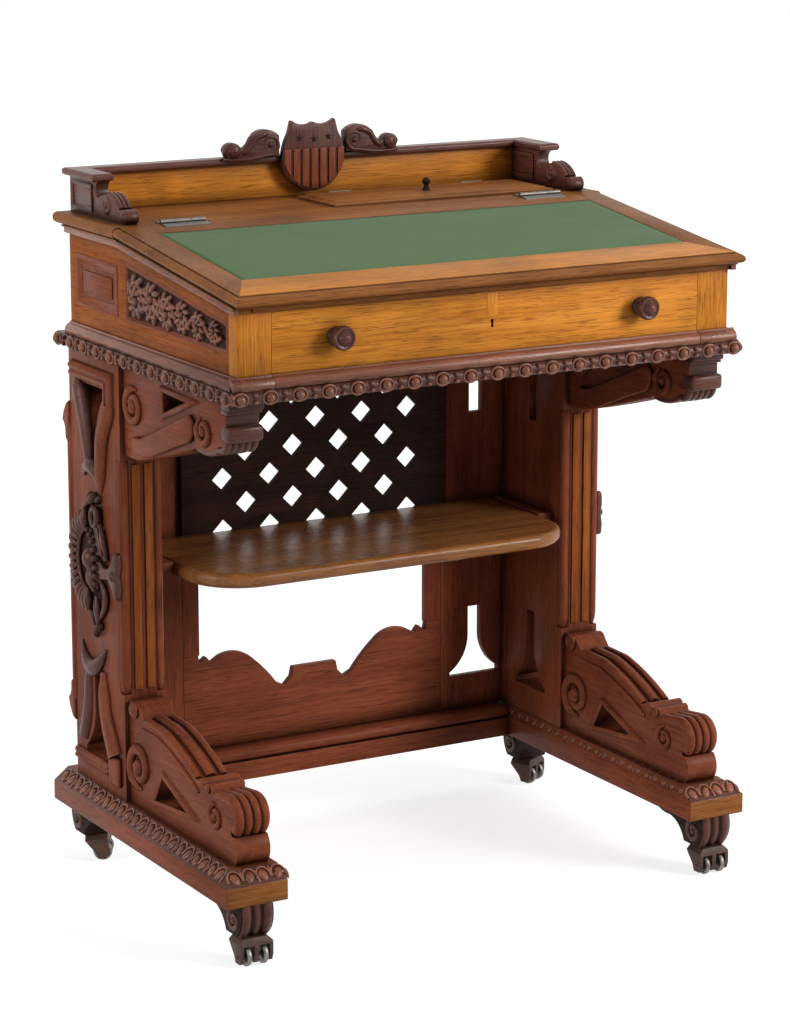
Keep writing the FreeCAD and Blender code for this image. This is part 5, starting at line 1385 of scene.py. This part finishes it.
    @staticmethod
    def pen_lid():
        """Flat lid with a stepped edge."""
        low, high = limits("pen_lid")
        work = Carving()
        edge = [(low[0], low[1]), (high[0], low[1]), (high[0], high[1]), (low[0], high[1])]
        tall = high[2] - low[2]
        work.moulding(edge, [(0, 0), (0, tall * 0.5), (-1.2, tall * 0.62), (-5, tall * 0.66),
                             (-6.5, tall * 0.74), (-8, tall), (-9.5, tall), (-9.5, 0)],
                      lambda x, y, u: at(x, y, low[2] + u), True)
        rim = 9.3
        work.block((low[0] + rim, low[1] + rim, low[2]), (high[0] - rim, high[1] - rim, high[2] - 0.05), 0)
        work.piece("pen_lid_wood", "pen_lid", "golden_oak", "X", ("pen_lid",), 30, "brown_oak")


class DESK_OT_drawer(bpy.types.Operator):
    """Turn the drawer knobs and let the wood patch into the drawer front"""
    bl_idname = "desk.drawer"
    bl_label = "Drawer fittings"

    def execute(self, context):
        knobs = Carving()
        low, high = limits("drawer_knobs")
        radius, long = (high[2] - low[2]) / 2, -low[1]
        place = high[0] - radius
        level = (low[2] + high[2]) / 2
        profile = [(0, 0), (0.80, 0), (0.80, 0.06), (0.72, 0.11), (0.58, 0.15), (0.50, 0.22), (0.48, 0.30),
                   (0.56, 0.38), (0.74, 0.42), (0.92, 0.48), (0.99, 0.55), (1, 0.64), (0.97, 0.74),
                   (0.86, 0.81), (0.74, 0.80), (0.66, 0.76), (0.58, 0.77), (0.50, 0.85), (0.36, 0.935),
                   (0.18, 0.985), (0, 1)]
        profile = [(r * radius, h * long) for r, h in profile]
        for side in (-1, 1):
            knobs.turned(profile, at(side * place, 0, level), FRONT, 36)
        knobs.piece("turned_knobs", "drawer", "dark_oak", "Z", ("drawer_knobs",), 60)
        patch = Carving()
        patch.block((-7, -0.25, 717.5), (7, 1, 744), 0.15)
        patch.piece("keyhole_patch", "drawer", "golden_oak", "Z")
        return {"FINISHED"}


# The stage: floor in metres, each light's place, size and power, and the camera's lens, place and turns
FLOOR_RADIUS, FLOOR_DROP = 14, 0.0004
LIGHTS = {
    "key_light": ((2.6, -2.9, 2), 1.5, 138),
    "fill_light": ((-3.8, -0.3, 1.5), 1.6, 66),
    "top_light": ((0.2, 0.4, 3.4), 2.4, 20),
}
LIGHT_AIM = Vector((0, 0, 0.5))
CAMERA_LENS, CAMERA_SENSOR = 114.38, 36
CAMERA_PLACE = (-1910.2, -3106.4, 1330.3)
CAMERA_YAW, CAMERA_PITCH = 29.855, 12.995


class DESK_OT_stage(bpy.types.Operator):
    """Set the floor, the lights and the camera"""
    bl_idname = "desk.stage"
    bl_label = "Stage"

    def execute(self, context):
        scene = context.scene
        scene.view_settings.view_transform = "Standard"
        self.floor()
        self.world(scene)
        for name, row in LIGHTS.items():
            self.lamp(name, *row)
        self.camera(scene)
        return {"FINISHED"}

    @staticmethod
    def backdrop_light(tree):
        """One where the camera, a gloss or a glass ray looks, nought elsewhere."""
        path = wire(tree, "ShaderNodeLightPath")
        seen = maths(tree, "ADD", path.outputs["Is Camera Ray"], path.outputs["Is Glossy Ray"], True)
        return maths(tree, "ADD", seen, path.outputs["Is Transmission Ray"], True)

    def floor(self):
        bm = bmesh.new()
        bmesh.ops.create_circle(bm, cap_ends=True, segments=64, radius=FLOOR_RADIUS)
        for vertex in bm.verts:
            vertex.co.z = -FLOOR_DROP
        mesh = poured(bm, "studio_floor")
        thing = linked("studio_floor", mesh)
        material, tree, place = blank_material("studio_paper")
        lit = wire(tree, "ShaderNodeBsdfDiffuse", {"Color": (0.5, 0.5, 0.5, 1)})
        glow = wire(tree, "ShaderNodeEmission", {"Color": (1, 1, 1, 1)})
        far = wire(tree, "ShaderNodeVectorMath", {0: place}, operation="LENGTH").outputs["Value"]
        level = ranged(tree, far, 0.9, 3, 0.76, 1)
        tree.links.new(times(tree, self.backdrop_light(tree), level), glow.inputs["Strength"])
        both = wire(tree, "ShaderNodeAddShader", {0: lit.outputs[0], 1: glow.outputs[0]})
        wire(tree, "ShaderNodeOutputMaterial", {"Surface": both.outputs[0]})
        mesh.materials.append(material)

    def world(self, scene):
        world = bpy.data.worlds.new("studio")
        world.use_nodes = True
        tree = world.node_tree
        tree.nodes.clear()
        strength = ranged(tree, self.backdrop_light(tree), 0, 1, 0.26, 1)
        back = wire(tree, "ShaderNodeBackground", {"Color": (1, 1, 1, 1), "Strength": strength})
        wire(tree, "ShaderNodeOutputWorld", {"Surface": back.outputs[0]})
        scene.world = world

    def lamp(self, name, place, size, power):
        light = bpy.data.lights.new(name, "AREA")
        light.size = size
        light.energy = power
        thing = linked(name, light)
        thing.location = place
        aim = LIGHT_AIM - Vector(place)
        thing.rotation_euler = aim.to_track_quat("-Z", "Y").to_euler()

    def camera(self, scene):
        data = bpy.data.cameras.new("camera")
        data.sensor_width = CAMERA_SENSOR
        data.lens = CAMERA_LENS
        thing = linked("camera", data)
        thing.location = at(*CAMERA_PLACE)
        yaw, pitch = math.radians(CAMERA_YAW), math.radians(CAMERA_PITCH)
        look = Vector((math.sin(yaw) * math.cos(pitch), math.cos(yaw) * math.cos(pitch), -math.sin(pitch)))
        thing.rotation_euler = look.to_track_quat("-Z", "Y").to_euler()
        scene.camera = thing


class DESK_PT_panel(bpy.types.Panel):
    """Lists the steps that dress the desk"""
    bl_idname = "DESK_PT_panel"
    bl_label = "Davenport desk"
    bl_space_type = "VIEW_3D"
    bl_region_type = "UI"
    bl_category = "Desk"

    def draw(self, context):
        for step in STEPS:
            self.layout.operator(step.bl_idname)
        for group in (context.scene.desk_finishes, context.scene.desk_sizes):
            for key in group.bl_rna.properties.keys():
                if key not in ("rna_type", "name"):
                    self.layout.prop(group, key)


STEPS = (
    DESK_OT_stage, DESK_OT_boards, DESK_OT_slope, DESK_OT_baize, DESK_OT_beads, DESK_OT_runner_leaves,
    DESK_OT_hinge_screws, DESK_OT_standards, DESK_OT_cartouches, DESK_OT_consoles, DESK_OT_brackets,
    DESK_OT_feet, DESK_OT_side_panels, DESK_OT_gallery, DESK_OT_drawer,
)
CLASSES = (DeskFinishes, DeskSizes) + STEPS + (DESK_PT_panel,)


def register():
    for item in CLASSES:
        bpy.utils.register_class(item)
    bpy.types.Scene.desk_finishes = bpy.props.PointerProperty(type=DeskFinishes)
    bpy.types.Scene.desk_sizes = bpy.props.PointerProperty(type=DeskSizes)


def unregister():
    del bpy.types.Scene.desk_sizes
    del bpy.types.Scene.desk_finishes
    for item in reversed(CLASSES):
        bpy.utils.unregister_class(item)


def main():
    register()
    for step in STEPS:
        area, name = step.bl_idname.split(".")
        getattr(getattr(bpy.ops, area), name)()
    bpy.context.view_layer.update()


if __name__ == "__main__":
    main()
